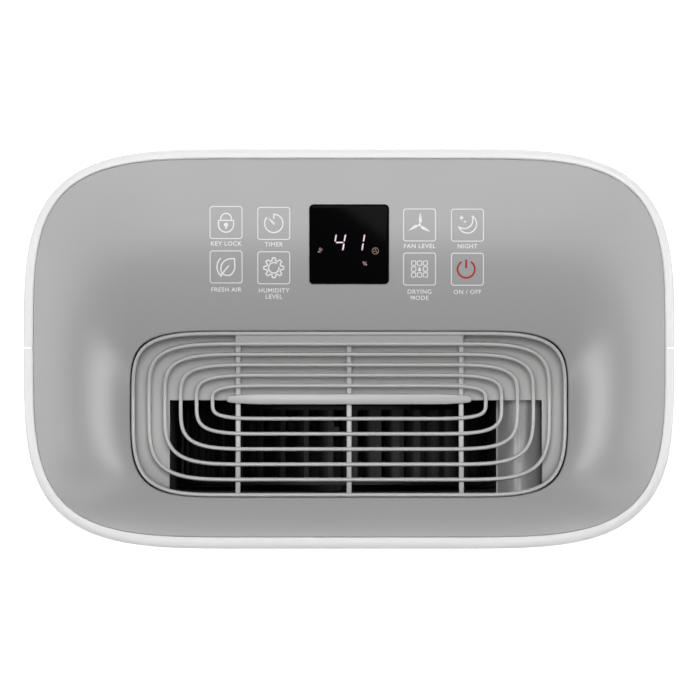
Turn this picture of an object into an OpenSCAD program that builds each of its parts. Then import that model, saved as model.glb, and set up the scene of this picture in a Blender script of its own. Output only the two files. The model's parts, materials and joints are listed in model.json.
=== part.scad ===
// Compressor dehumidifier: a tall rounded cabinet with a dished top, a ring outlet grille, touch keys and a
// square display, a pull-out water tank in front, an intake with a washable filter behind, on four castors.
// X is to the right, Y to the back, Z up. The origin is on the floor, under the middle of the cabinet.

/* [Cabinet] */
// Width of the cabinet
body_w = 370; // [300:1:460]
// Depth of the cabinet
body_d = 226; // [200:1:290]
// Height of the rim above the floor
body_h = 590; // [560:1:720]
// Thickness of the cabinet walls
wall = 2.5; // [2:0.1:3.5]
// Width of the rim around the top cover
rim_w = 5; // [4:0.1:8]
// Height of the cabinet's lower edge above the floor
skirt_z = 20; // [16:1:26]
// Gap where two outside panels meet
seam = 0.4; // [0.2:0.1:0.8]

// Half length of the straight run in the middle of the front and the back
straight_half = 57; // [40:1:90]

/* [Outlet grille] */
// Half width of the outer ring, on its centre line
ring_half_w = 123.3; // [100:0.1:130]
// Reach of the outer ring behind the centre bar
ring_rear = 39.2; // [34:0.1:44]
// Reach of the outer ring in front of the centre bar
ring_front = 53.3; // [46:0.1:56]
// Number of rings
ring_count = 6; // [4:1:7]
// Width of a ring bar
bar_w = 2.6; // [1.8:0.1:3.4]
// Height of a ring bar
bar_h = 4.2; // [3:0.1:6]
// How far the centre bar lies in front of the cabinet's middle
bar_y = 30.2; // [26:0.1:34]
// Length of the centre bar
centre_bar_l = 140; // [100:1:150]
// Width of the centre bar
centre_bar_w = 6.2; // [5:0.1:8]
// Width of the lip that turns the air up at the throat's right side
lip_w = 25.8; // [10:0.1:30]
// Height of that lip above the scroll
lip_h = 16; // [8:0.5:18]

/* [Dish] */
// Depth of the dish along the centre bar
dish_mid = 20; // [14:0.5:24]
// Depth of the dish at the grille's back edge
dish_rear = 12; // [8:0.5:14]
// Depth of the dish at the grille's front edge
dish_front = 9; // [6:0.5:12]
// Depth of the well below the grille's top
well_depth = 12; // [10:0.5:16]

/* [Controls] */
// Side of the square display window
window_w = 45; // [36:0.5:52]
// Distance of the window's middle behind the cabinet's middle
window_y = 59.4; // [54:0.1:64]
// Thickness of the display window
lens_t = 2; // [1.5:0.1:3]

/* [Fan] */
// Radius of the fan wheel
fan_r = 92; // [80:1:95]
// Width of the fan wheel along its shaft
fan_w = 46; // [36:1:48]
// Number of fan blades
blade_count = 40; // [24:2:48]
// Radius of the motor
motor_r = 42; // [34:1:46]
// Radius of the motor shaft
shaft_r = 4; // [3:0.5:5]

/* [Coils] */
// Width of the finned coils
coil_w = 236; // [180:1:250]
// Height of the finned coils
coil_h = 212; // [170:1:222]
// Thickness of each coil
coil_t = 22; // [18:1:25]
// Number of fins drawn in each coil
fin_count = 40; // [20:2:50]
// Outer radius of the coil tubes
tube_r = 3.5; // [2.5:0.1:4.5]

/* [Compressor] */
// Radius of the compressor shell
comp_r = 50; // [42:1:52]
// Height of the compressor shell
comp_h = 186; // [140:1:192]

/* [Tank] */
// Width of the water tank
tank_w = 280; // [220:1:288]
// Height of the water tank
tank_h = 152; // [120:1:156]
// Wall of the water tank
tank_wall = 2.4; // [2:0.1:3]
// Height of the tank's front panel
panel_h = 180; // [170:1:200]
// Reach of the tank's carrying handle from its pivot
bail_reach = 40; // [30:1:41]

/* [Castors] */
// Radius of the castor wheels
wheel_r = 12.5; // [10:0.5:13]
// Width of the castor wheels
wheel_w = 14; // [10:0.5:16]
// Distance of the wheel's axle from the swivel axis
trail = 9; // [6:0.5:10]

/* [Drain] */
// Outer radius of the hose spigot
spigot_r = 8; // [6:0.5:9]
// Free length of the hose spigot
spigot_l = 18; // [14:1:24]

/* [Hidden] */
$fn = 48;
eps = 0.01;

// Clearances: sliding pieces, turning pins, and pieces that are set in a pocket.
slide_gap = 0.8;
castor_room = 15;
pin_gap = 0.06;
set_gap = 0.3;

// Cabinet outline: a straight run in the middle of each long side, then superellipse corners.
outline_n = 64;
outline_power = 3.7;
cover_inset = rim_w + seam;
cover_t = 2.5;
cover_drop = 0.6;
base_z = 2 * wheel_r + castor_room;
base_t = 4;
deck_t = 4;

// Grille rings.
ring_power = 4.2;
ring_straight = 0.5;
ring_pitch_x = 9.06;
ring_pitch_rear = 5.95;
ring_pitch_front = 8.78;
grille_recess = 0.8;
grille_gap = 0.6;
rib_x = [-63.4, 0, 64];
rib_w = 3;
rib_h = 3.5;
clip_w = 130;
clip_d = 4.2;

// Air way below the grille.
throat_x0 = 20.7 - ring_half_w;
throat_x1 = ring_half_w - 13;
throat_y0 = -bar_y - ring_front - 0.5;
throat_y1 = 0.8 - bar_y;
throat_wall = 2;
scroll_top = body_h - 54;
fan_x = min(throat_x0 + fan_r + 1.3, (throat_x0 + throat_x1) / 2 - 4);
fan_y = (throat_y0 + throat_y1) / 2;
fan_z = scroll_top - fan_r - 44;
scroll_gap = 3.4;
scroll_grow = max(throat_x1 - fan_x - fan_r - scroll_gap, 12);
scroll_x0 = min(throat_x0, fan_x - fan_r - 1.3);

// Decks and bays.
tank_z = base_z + base_t + 2;
tank_y0 = -98;
tank_y1 = -14;
tank_top = tank_z + tank_h;
bail_z = tank_top + 13;
bail_y = -58;
bail_r = 5;
deck_z = bail_z + bail_reach + bail_r + 3;
panel_z = tank_z - 1.6;
panel_half = tank_w / 2 + 10;
bay_y = -8;
tray_z = deck_z + deck_t;
coil_z = tray_z + 4;
condenser_y = 28;
evaporator_y = condenser_y + coil_t + 12;
filter_y = evaporator_y + coil_t + 8;
intake_half_w = coil_w / 2 + 12;
intake_z0 = coil_z - 4;
intake_z1 = coil_z + coil_h + 10;

comp_x = 46;
comp_y = 46;
comp_z = base_z + base_t + 12;
castor_x = body_w / 2 - 50;
castor_y = body_d / 2 - 45;
screw_x = body_w / 2 - 19;
post_end = body_d / 2 - 50;
screw_z = [base_z + 34, tray_z + 16, body_h - 66];
handle_z = body_h - 100;
handle_half = 38;
handle_h = 34;
handle_deep = 24;
board_z = body_h - 26;
spigot_x = -118;
spigot_z = deck_z - 30;
spigot_floor = body_d / 2 - spigot_l - 8;
spigot_leg_y = spigot_floor - 10;
drip_y = -24;
gland_x = 118;
gland_z = base_z + 26;
gland_bore = 3.6;
gland_l = 11;

white = [0.93, 0.93, 0.92];
grey = [0.62, 0.62, 0.62];
black = [0.06, 0.06, 0.06];
copper = [0.72, 0.43, 0.28];
steel = [0.75, 0.75, 0.77];

// ---------- helpers ----------

function power(v, p) = sign(v) * pow(abs(v), p);

// The cabinet's outline, drawn in by inset.
function body_outline(inset) = [
    for (i = [0 : outline_n - 1])
        let (t = 360 * i / outline_n, c = cos(t), s = sin(t))
        [sign(abs(c) < eps ? 0 : c) * (straight_half
            + (body_w / 2 - straight_half - inset) * pow(abs(c), 2 / outline_power)),
         (body_d / 2 - inset) * power(s, 2 / outline_power)]
];

// How far back the cabinet's outline lies at a given x.
function outline_y(x, inset = 0) = abs(x) <= straight_half ? body_d / 2 - inset
    : (body_d / 2 - inset) * pow(1 - pow((abs(x) - straight_half)
        / (body_w / 2 - straight_half - inset), outline_power), 1 / outline_power);

// Point on ring number k of the grille at angle t, grown by off.
function ring_point(k, off, t) =
    let (half_w = ring_half_w - k * ring_pitch_x + off, c = cos(t), s = sin(t),
         reach = s > 0 ? ring_rear - k * ring_pitch_rear : ring_front - k * ring_pitch_front)
    [sign(abs(c) < eps ? 0 : c) * half_w * (ring_straight
        + (1 - ring_straight) * pow(abs(c), 2 / ring_power)),
     -bar_y + (reach + off) * power(s, 2 / ring_power)];
function ring_outline(k, off) = [for (i = [0 : outline_n - 1]) ring_point(k, off, 360 * i / outline_n)];

// Depth of the dish along the grille: a valley with its bottom under the centre bar.
function valley(y) = y > -bar_y
    ? dish_mid - (dish_mid - dish_rear) * pow((y + bar_y) / ring_rear, 2)
    : dish_mid - (dish_mid - dish_front) * pow((y + bar_y) / ring_front, 2);

// Depth of the top cover at share s of the way from the grille (0) to the rim (1), at angle t.
function dish_share(s, t) =
    let (lead = sin(t) > 0 ? 3 * pow(sin(t), 2) : 0)
    1 - 3 * s * s + 2 * s * s * s - lead * (s - 2 * s * s + s * s * s);

module body_prism(z0, z1, inset) {
    translate([0, 0, z0]) linear_extrude(z1 - z0) polygon(body_outline(inset));
}

// A profile in Y and Z, drawn out along X.
module x_prism(points, x0, x1) {
    translate([x0, 0, 0]) rotate([90, 0, 90]) linear_extrude(x1 - x0) polygon(points);
}

// A profile in X and Z, drawn out along Y.
module y_prism(points, y0, y1) {
    translate([0, y1, 0]) rotate([90, 0, 0]) linear_extrude(y1 - y0) polygon(points);
}

module box(lo, hi) {
    translate(lo) cube([hi[0] - lo[0], hi[1] - lo[1], hi[2] - lo[2]]);
}

module y_rod(r, y0, y1, x, z) {
    translate([x, y1, z]) rotate([90, 0, 0]) cylinder(h = y1 - y0, r = r);
}

module x_rod(r, x0, x1, y, z) {
    translate([x0, y, z]) rotate([0, 90, 0]) cylinder(h = x1 - x0, r = r);
}

module rounded_plate(w, d, r) {
    hull() for (x = [-1, 1], y = [-1, 1]) translate([x * (w / 2 - r), y * (d / 2 - r)]) circle(r, $fn = 24);
}

// A square-cornered plate with round corners made only of exact pieces.
module soft_square(w, d, r) {
    square([w - 2 * r, d], center = true);
    square([w, d - 2 * r], center = true);
    for (x = [-1, 1], y = [-1, 1]) translate([x * (w / 2 - r), y * (d / 2 - r)]) circle(r);
}

// ---------- cabinet ----------

module half_space(back) {
    big = 2 * body_h;
    if (back) box([-big, seam / 2, -1], [big, big, big]);
    else box([-big, -big, -1], [big, -seam / 2, big]);
}

// The whole cabinet skin: a soft lower edge, straight walls and a thicker eased rim.
module cabinet_skin() {
    lower = [[0, 6], [2, 3], [5, 1.2], [10, 0]];
    difference() {
        union() {
            for (i = [0 : 2]) body_prism(skirt_z + lower[i][0], skirt_z + lower[i + 1][0] + eps, lower[i][1]);
            body_prism(skirt_z + 10, body_h - 2, 0);
            body_prism(body_h - 2 - eps, body_h - 0.8, 0.7);
            body_prism(body_h - 0.8 - eps, body_h, 1.8);
        }
        body_prism(skirt_z - 1, base_z + base_t, wall + 5.5);
        body_prism(base_z + base_t - eps, body_h - 16, wall);
        body_prism(body_h - 16 - eps, body_h + 1, rim_w);
    }
}

module handle_hole(grow) {
    box([-body_w, -handle_half - grow, handle_z - handle_h / 2 - grow],
        [body_w, handle_half + grow, handle_z + handle_h / 2 + grow]);
}

module screw_places() {
    for (x = [-screw_x, screw_x], z = screw_z) translate([x, outline_y(x), z]) children();
}

module front_shell() {
    color(white) difference() {
        union() {
            intersection() {
                cabinet_skin();
                half_space(false);
            }
            screw_places() y_rod(5.5, 1.5 - 2 * outline_y(screw_x), post_end - outline_y(screw_x), 0, 0);
        }
        screw_places() y_rod(1.9, post_end - 14 - outline_y(screw_x), 0, 0, 0);
        handle_hole(set_gap);
        box([-panel_half, -body_d, panel_z], [panel_half, -body_d / 4, panel_z + panel_h]);
    }
}

module rear_shell() {
    color(white) difference() {
        union() {
            intersection() {
                cabinet_skin();
                half_space(true);
            }
            screw_places() y_rod(7, post_end + 0.2 - outline_y(screw_x), -2, 0, 0);
        }
        handle_hole(set_gap);
        box([-intake_half_w, body_d / 4, intake_z0], [intake_half_w, body_d, intake_z1]);
        screw_places() y_rod(4.6, post_end + 6 - outline_y(screw_x), 20, 0, 0);
        screw_places() y_rod(2.2, post_end - 1 - outline_y(screw_x), 20, 0, 0);
        y_rod(spigot_r + 4.9, body_d / 4, body_d, spigot_x, spigot_z);
        y_rod(9 + set_gap, body_d / 4, body_d, gland_x, gland_z);
    }
}

module shell_screws() {
    y = post_end + 6 - outline_y(screw_x);
    color(steel) screw_places() {
        y_rod(4, y, y + 2.4, 0, 0);
        y_rod(1.9, y - 18, y + eps, 0, 0);
    }
}

// A cup let into both halves of the cabinet, open to the side; side is -1 for left and 1 for right.
module handle_cup(side) {
    x1 = body_w / 2 - 0.6;
    x0 = x1 - handle_deep;
    color(white) scale([side, 1, 1]) difference() {
        intersection() {
            box([x0, -handle_half, handle_z - handle_h / 2], [x1 + 5, handle_half, handle_z + handle_h / 2]);
            body_prism(0, body_h, 0.5);
        }
        box([x0 + 2, -handle_half + 2, handle_z - handle_h / 2 + 2],
            [x1 + 9, handle_half - 2, handle_z + handle_h / 2 - 2]);
    }
}

// ---------- top ----------

cover_rings = 7;
function cover_point(i, j) =
    let (t = 360 * i / outline_n, s = j / cover_rings,
         inner = ring_point(0, bar_w / 2 + grille_gap, t), outer = body_outline(cover_inset)[i])
    [inner[0] * (1 - s) + outer[0] * s, inner[1] * (1 - s) + outer[1] * s,
     body_h - cover_drop - valley(inner[1]) * dish_share(s, t)];

// A closed skin over a grid that runs round and outwards, thick downwards by t.
module ring_skin(points, around, out, t) {
    n = around * (out + 1);
    all = concat(points, [for (p = points) [p[0], p[1], p[2] - t]]);
    function at(i, j) = (i % around) + j * around;
    polyhedron(all, concat(
        [for (j = [0 : out - 1], i = [0 : around - 1], h = [0, 1])
            h == 0 ? [at(i, j), at(i + 1, j + 1), at(i, j + 1)] : [at(i, j), at(i + 1, j), at(i + 1, j + 1)]],
        [for (j = [0 : out - 1], i = [0 : around - 1], h = [0, 1])
            h == 0 ? [n + at(i, j), n + at(i, j + 1), n + at(i + 1, j + 1)]
                   : [n + at(i, j), n + at(i + 1, j + 1), n + at(i + 1, j)]],
        [for (i = [0 : around - 1], h = [0, 1])
            h == 0 ? [at(i, 0), n + at(i, 0), n + at(i + 1, 0)] : [at(i, 0), n + at(i + 1, 0), at(i + 1, 0)]],
        [for (i = [0 : around - 1], h = [0, 1])
            h == 0 ? [at(i, out), n + at(i + 1, out), n + at(i, out)]
                   : [at(i, out), at(i + 1, out), n + at(i + 1, out)]]
    ));
}

cover_points = [for (j = [0 : cover_rings], i = [0 : outline_n - 1]) cover_point(i, j)];

// Height of the cover at its grid point nearest to x and y.
function cover_near(x, y) =
    let (gaps = [for (p = cover_points) norm([p[0] - x, p[1] - y])])
    cover_points[search(min(gaps), gaps)[0]][2];

module board_places() {
    for (x = [-79, 79], y = [-25, 21]) translate([x, window_y + y, 0]) children();
}

module top_cover() {
    color(grey) difference() {
        union() {
            ring_skin(cover_points, outline_n, cover_rings, cover_t);
            for (x = [-79, 79], y = [window_y - 25, window_y + 21]) translate([x, y, board_z - 6.4])
                cylinder(h = cover_near(x, y) - board_z + 6.4 - cover_t / 2, r = 3.5);
        }
        board_places() translate([0, 0, board_z - 8]) cylinder(h = 12, r = 1.5);
        translate([0, window_y, body_h - 20]) linear_extrude(30)
            square([window_w + 2 * seam, window_w + 2 * seam], center = true);
    }
}

// Height of the cover behind the grille, on the cabinet's middle line.
function cover_z(y) =
    let (y0 = -bar_y + ring_rear + bar_w / 2 + grille_gap, s = (y - y0) / (body_d / 2 - cover_inset - y0))
    body_h - cover_drop - valley(y0) * dish_share(s, 90);

lens_lo = cover_z(window_y - window_w / 2);
lens_hi = cover_z(window_y + window_w / 2);
lens_tilt = atan2(lens_hi - lens_lo, window_w);

module on_window() {
    translate([0, window_y, (lens_lo + lens_hi) / 2]) rotate([lens_tilt, 0, 0]) children();
}

module display_window() {
    color(black) on_window() translate([0, 0, -lens_t]) linear_extrude(lens_t)
        soft_square(window_w, window_w, 2.2);
}

module display_module() {
    color(black) on_window() translate([0, 0, -lens_t - 9]) linear_extrude(8.6)
        square([38, 30], center = true);
}

module control_board() {
    color([0.1, 0.35, 0.2]) difference() {
        box([-84, window_y - 30, board_z - 8], [84, window_y + 26, board_z - 6.4]);
        board_places() translate([0, 0, board_z - 10]) cylinder(h = 6, r = 1.7);
    }
    color(black) translate([-50, window_y - 18, board_z - 12.5]) cube([16, 12, 4.5]);
    color(black) translate([30, window_y - 22, board_z - 14]) cube([12, 20, 6]);
}

key_x = [-70, -43, 40.2, 67.5];
key_y = [71, 46];
module touch_springs() {
    color(steel) for (x = key_x, y = key_y) translate([x, y, board_z - 6.4]) difference() {
        cylinder(h = cover_near(x, y) - cover_t - board_z + 4.4, r = 5);
        translate([0, 0, -1]) cylinder(h = 40, r = 4);
    }
}

module board_screws() {
    color(steel) board_places() {
        translate([0, 0, board_z - 9.8]) cylinder(h = 1.8, r = 2.8);
        translate([0, 0, board_z - 8.1]) cylinder(h = 8, r = 1.5);
    }
}

// Slab between two curves that follow the valley, deep0 and deep1 below it.
module valley_slab(deep0, deep1) {
    ys = [for (i = [0 : 28]) -bar_y - ring_front - 6 + i * (ring_front + ring_rear + 12) / 28];
    top = body_h - cover_drop;
    x_prism(concat(
        [for (y = ys) [y, top - valley(y) - deep0]],
        [for (i = [28 : -1 : 0]) [ys[i], top - valley(ys[i]) - deep1]]
    ), -ring_half_w - 10, ring_half_w + 10);
}

module ring_flat(k) {
    difference() {
        polygon(ring_outline(k, bar_w / 2));
        polygon(ring_outline(k, -bar_w / 2));
    }
}

module grille_column(deep0, deep1) {
    intersection() {
        translate([0, 0, body_h - 60]) linear_extrude(80) children();
        valley_slab(deep0, deep1);
    }
}

module outlet_grille() {
    rear = -bar_y + ring_rear;
    front = -bar_y - ring_front;
    color(grey) union() {
        for (k = [0 : ring_count - 1]) grille_column(grille_recess, grille_recess + bar_h) ring_flat(k);
        grille_column(grille_recess + bar_h - 0.6, grille_recess + bar_h + rib_h) union() {
            for (x = rib_x) translate([x - rib_w / 2, front]) square([rib_w, rear - front]);
        }
        grille_column(grille_recess + 0.4, grille_recess + bar_h) union() {
            translate([-centre_bar_l / 2, -bar_y - centre_bar_w / 2]) square([centre_bar_l, centre_bar_w]);
            translate([-clip_w / 2, rear - bar_w / 2 - clip_d]) square([clip_w, clip_d + 0.4]);
        }
    }
}

// The light tray under the grille, with the throat that leads down to the fan.
module outlet_well() {
    throat_deep = 2;
    color(grey) difference() {
        union() {
            grille_column(well_depth, well_depth + 2) polygon(ring_outline(0, -bar_w / 2 - 0.2));
            grille_column(grille_recess + bar_h + rib_h - 3, well_depth + 2) difference() {
                polygon(ring_outline(0, -bar_w / 2 - 0.2));
                polygon(ring_outline(0, -bar_w / 2 - 2.2));
            }
            intersection() {
                box([throat_x0 - throat_wall, throat_y0 - throat_wall, scroll_top + 0.5],
                    [throat_x1 + throat_wall, throat_y1 + throat_wall, body_h]);
                valley_slab(well_depth + 1, 200);
                linear_extrude(body_h) polygon(body_outline(wall + 1));
            }
        }
        box([throat_x0, throat_y0, scroll_top - 1], [throat_x1, throat_y1, body_h]);
        for (x = rib_x) grille_column(grille_recess, grille_recess + bar_h + rib_h + 0.4)
            translate([x - rib_w / 2 - 0.4, -bar_y - ring_front])
                square([rib_w + 0.8, ring_front + ring_rear]);
    }
    // The lip: a rounded hump along the throat's right side.
    lip_x0 = throat_x1 - lip_w;
    lip_curve = [
        for (i = [0 : 12]) [lip_x0 + lip_w * i / 12, scroll_top + 3 + (lip_h - 3) * sin(15 * i)]
    ];
    color(grey) y_prism(concat(
        [[throat_x1 + 1, scroll_top + 0.6], [lip_x0, scroll_top + 0.6]],
        lip_curve,
        [[throat_x1 + 1, scroll_top + 3]]
    ), throat_y0 - 1, throat_y1 + 1);
}

module well_seal() {
    color(black) difference() {
        box([throat_x0 - throat_wall, throat_y0 - throat_wall, scroll_top],
            [throat_x1 + throat_wall, throat_y1 + throat_wall, scroll_top + 0.5]);
        box([throat_x0, throat_y0, scroll_top - 1], [throat_x1, throat_y1, scroll_top + 1]);
    }
}

// ---------- fan ----------

// Volute outline around the fan: it grows by grow_r on its way from the left side, under, to the right side.
function volute(extra) = concat(
    [[throat_x0 - extra, scroll_top]],
    [for (i = [0 : 30]) let (a = 175 + i * 185 / 30, r = fan_r + scroll_gap + extra + scroll_grow * i / 30)
        [max(fan_x + r * cos(a), scroll_x0 - extra), fan_z + r * sin(a)]],
    [[throat_x1 + extra, scroll_top]]
);

module fan_scroll() {
    color([0.78, 0.78, 0.77]) difference() {
        union() {
            y_prism(volute(throat_wall), throat_y0 - throat_wall, throat_y1);
            for (s = [-1, 1]) box([fan_x + s * 62 - 10, throat_y0 - throat_wall, tray_z],
                [fan_x + s * 62 + 10, throat_y0 + 24, fan_z - 60]);
        }
        y_prism(concat([for (p = volute(0)) p], [[throat_x1, scroll_top + 1], [throat_x0, scroll_top + 1]]),
            throat_y0, throat_y1 + 1);
        y_rod(motor_r + 0.6, throat_y0 - 5, throat_y0 + 1, fan_x, fan_z);
        for (a = [45 : 90 : 315]) y_rod(1.7, throat_y0 - 5, throat_y0 + 1,
            fan_x + (motor_r + 5) * cos(a), fan_z + (motor_r + 5) * sin(a));
    }
}

module scroll_cover() {
    color([0.78, 0.78, 0.77]) difference() {
        union() {
            y_prism(volute(throat_wall), throat_y1, throat_y1 + throat_wall);
            y_rod(fan_r - 12, throat_y1, throat_y1 + 7, fan_x, fan_z);
        }
        y_rod(fan_r - 15, throat_y1 - 1, throat_y1 + 9, fan_x, fan_z);
    }
}

fan_y0 = fan_y - fan_w / 2;
fan_y1 = fan_y + fan_w / 2;
hub_y = fan_y + 2;
blade_t = 1.2;

// Forward-curved blade: a thin arc between two radii.
module blade_flat() {
    bend = fan_r * 0.09;
    translate([fan_r - 1 - bend, 0]) polygon(concat(
        [for (a = [0 : 20 : 100]) bend * [cos(a), sin(a)]],
        [for (a = [100 : -20 : 0]) (bend - blade_t) * [cos(a), sin(a)]]
    ));
}

module fan_wheel() {
    color(black) translate([fan_x, fan_y1, fan_z]) rotate([90, 0, 0]) {
        for (i = [0 : blade_count - 1]) rotate(360 * i / blade_count) linear_extrude(fan_w) blade_flat();
        rotate_extrude() polygon([
            [fan_r - 11, 0], [fan_r, 0], [fan_r, 2.4], [fan_r - 11, 2.4]
        ]);
        rotate_extrude() polygon([
            [shaft_r, fan_y1 - hub_y - 3], [12, fan_y1 - hub_y - 3], [motor_r + 2, fan_y1 - hub_y - 1],
            [motor_r + 6, fan_w - 3], [fan_r, fan_w - 3], [fan_r, fan_w], [motor_r + 3, fan_w],
            [motor_r + 1, fan_y1 - hub_y + 4], [12, fan_y1 - hub_y + 2],
            [12, fan_y1 - hub_y + 7], [shaft_r, fan_y1 - hub_y + 7]
        ]);
    }
}

module fan_nut() {
    color(steel) difference() {
        translate([fan_x, hub_y + 8, fan_z]) rotate([90, 0, 0]) cylinder(h = 5, r = 7, $fn = 6);
        y_rod(shaft_r, hub_y, hub_y + 12, fan_x, fan_z);
    }
}

module fan_motor() {
    color(steel) difference() {
        union() {
            y_rod(motor_r, throat_y0 - throat_wall - 16, hub_y - 8, fan_x, fan_z);
            y_rod(motor_r + 9, throat_y0 - throat_wall - 3, throat_y0 - throat_wall, fan_x, fan_z);
        }
        for (a = [45 : 90 : 315]) y_rod(1.7, throat_y0 - 9, throat_y0,
            fan_x + (motor_r + 5) * cos(a), fan_z + (motor_r + 5) * sin(a));
        y_rod(shaft_r + pin_gap, throat_y0 - throat_wall - 12, hub_y, fan_x, fan_z);
    }
}

module motor_shaft() {
    color(steel) y_rod(shaft_r, throat_y0 - throat_wall - 11.5, hub_y + 11, fan_x, fan_z);
}

module motor_screws() {
    y = throat_y0 - throat_wall - 3;
    place_r = motor_r + 5;
    color(steel) for (a = [45 : 90 : 315]) {
        screw_x = fan_x + place_r * cos(a);
        screw_z = fan_z + place_r * sin(a);
        y_rod(3, y - 2, y, screw_x, screw_z);
        y_rod(1.5, y - eps, y + 5, screw_x, screw_z);
    }
}

// ---------- refrigeration ----------

tube_rows = 8;
function tube_z(i) = coil_z + coil_h * (i + 0.5) / tube_rows;

module fin_pack(y) {
    pitch = coil_w / (fin_count - 1);
    for (i = [0 : fin_count - 1]) {
        end = i == 0 || i == fin_count - 1;
        t = end ? 1.2 : 0.4;
        translate([-coil_w / 2 + i * pitch - t / 2, y, coil_z]) rotate([90, 0, 90]) linear_extrude(t)
            difference() {
                translate([0, end ? -2 : 0]) square([coil_t, coil_h + (end ? 2 : 0)]);
                for (k = [0 : tube_rows - 1]) translate([coil_t / 2, tube_z(k) - coil_z])
                    circle(tube_r + 0.05);
            }
    }
}

module return_bend(y, z, pitch, side) {
    translate([side * (coil_w / 2 + 3), y, z + pitch / 2]) rotate([90, side > 0 ? 0 : 180, 0])
        rotate([0, 0, -90])
        rotate_extrude(angle = 180) translate([pitch / 2, 0]) circle(tube_r);
}

module serpentine(y) {
    pitch = coil_h / tube_rows;
    for (k = [0 : tube_rows - 1]) x_rod(tube_r, -coil_w / 2 - 3, coil_w / 2 + 3, y + coil_t / 2, tube_z(k));
    for (k = [0 : tube_rows - 2]) return_bend(y + coil_t / 2, tube_z(k), pitch, k % 2 == 0 ? 1 : -1);
}

module drain_tray() {
    y0 = condenser_y - 8;
    y1 = evaporator_y + coil_t + 3;
    half = coil_w / 2 + 10;
    color(white) difference() {
        box([-half, y0, tray_z], [half, y1, tray_z + 9]);
        box([-half + 2, y0 + 2, tray_z + 2], [half - 2, y1 - 2, tray_z + 10]);
        translate([0, y0 + 10, tray_z - 1]) cylinder(h = 5, r = 5);
        translate([spigot_x, spigot_leg_y, tray_z - 1]) cylinder(h = 5, r = 5);
    }
}

// Takes the water from the tray, forwards under the fan and down through the deck.
module drain_elbow() {
    y0 = condenser_y + 2;
    color(white) difference() {
        union() {
            box([-8, drip_y - 8, tray_z - 7.6], [8, y0 + 6, tray_z]);
            translate([0, drip_y, deck_z - 6]) cylinder(h = 4, r = 8);
        }
        box([-6, drip_y - 6, tray_z - 5.6], [6, y0 + 4, tray_z - 2]);
        translate([0, drip_y, deck_z - 8]) cylinder(h = 8, r = 6);
        translate([0, y0, tray_z - 3]) cylinder(h = 5, r = 5);
    }
}

module compressor() {
    color(black) {
        translate([comp_x, comp_y, comp_z + 3]) rotate_extrude() polygon(concat(
            [[0, 0], [comp_r - 8, 0], [comp_r, 8]],
            [for (a = [0 : 15 : 90]) [comp_r * cos(a), comp_h - 30 + 27 * sin(a)]]
        ));
        difference() {
            translate([comp_x, comp_y, comp_z]) linear_extrude(3) soft_square(104, 92, 12);
            foot_places() translate([0, 0, comp_z - 1]) cylinder(h = 6, r = 4.6);
        }
        translate([comp_x - 14, comp_y, comp_z + comp_h - 2]) cylinder(h = 8, r = 4);
    }
}

module foot_places() {
    for (x = [-42, 42], y = [-36, 36]) translate([comp_x + x, comp_y + y, 0]) children();
}

module compressor_grommets() {
    color([0.12, 0.12, 0.12]) foot_places() difference() {
        union() {
            translate([0, 0, base_z + base_t]) cylinder(h = comp_z - base_z - base_t, r = 8);
            translate([0, 0, comp_z - eps]) cylinder(h = 3 + eps, r = 4.5);
        }
        translate([0, 0, base_z]) cylinder(h = 40, r = 3.1);
    }
}

module compressor_bolts() {
    color(steel) foot_places() {
        translate([0, 0, base_z + base_t - 1]) cylinder(h = comp_z - base_z - base_t + 5, r = 3);
        translate([0, 0, comp_z + 3]) cylinder(h = 3, r = 6, $fn = 6);
    }
}

acc_x = comp_x - comp_r - 24;
module accumulator() {
    color(black) translate([acc_x, comp_y, comp_z + 20]) rotate_extrude() polygon([
        [0, 0], [8, 2], [19, 14], [19, 92], [8, 104], [0, 106]
    ]);
}

// Round tube along straight runs between points, with a ball at each corner.
module pipe(points, r) {
    for (i = [0 : len(points) - 2]) {
        a = points[i];
        d = points[i + 1] - a;
        translate(a) rotate([0, acos(d[2] / norm(d)), atan2(d[1], d[0])]) cylinder(h = norm(d), r = r);
        if (i > 0) translate(a) sphere(r);
    }
}

module discharge_pipe() {
    z = tube_z(tube_rows - 1);
    x = -coil_w / 2 - 26;
    color(copper) pipe([
        [comp_x - 14, comp_y, comp_z + comp_h + 6], [comp_x - 14, comp_y, deck_z - 7.3],
        [comp_x - 14, 4, deck_z - 7.3], [x, 4, deck_z - 7.3], [x, 4, z],
        [x, condenser_y + coil_t / 2, z], [-coil_w / 2 - 3, condenser_y + coil_t / 2, z]
    ], 3);
}

module suction_pipe() {
    x = -coil_w / 2 - 26;
    y = evaporator_y + coil_t / 2;
    z = tube_z(tube_rows - 1);
    color(copper) pipe([
        [acc_x, comp_y, comp_z + 126], [acc_x, comp_y, deck_z - 18], [x, comp_y, deck_z - 18],
        [x, y, deck_z - 18], [x, y, z], [-coil_w / 2 - 3, y, z]
    ], 3.5);
}

// Small tube that joins the two coils, wound into a few turns on its way.
capillary_points =
    let (x = -coil_w / 2 - 12, z = tube_z(0), yc = condenser_y + coil_t / 2, ye = evaporator_y + coil_t / 2,
         ym = (yc + ye) / 2, turns = 3, r = 8)
    concat(
        [[x + 9, yc, z], [x + 2, yc, z], [x - r + 1, yc + 1, z], [x - r, yc + 3, z]],
        [for (i = [0 : 16 * turns]) let (a = 180 + i * 360 / 16)
            [x + r * cos(a), ym + r * sin(a), z + 3.2 * i / 16]],
        [[x - r, ym + 2, z + 3.2 * turns], [x - r, ye - 3, z + 3.2 * turns - 6], [x - r + 1, ye - 1, z + 1],
         [x + 2, ye, z], [x + 9, ye, z]]
    );

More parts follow.
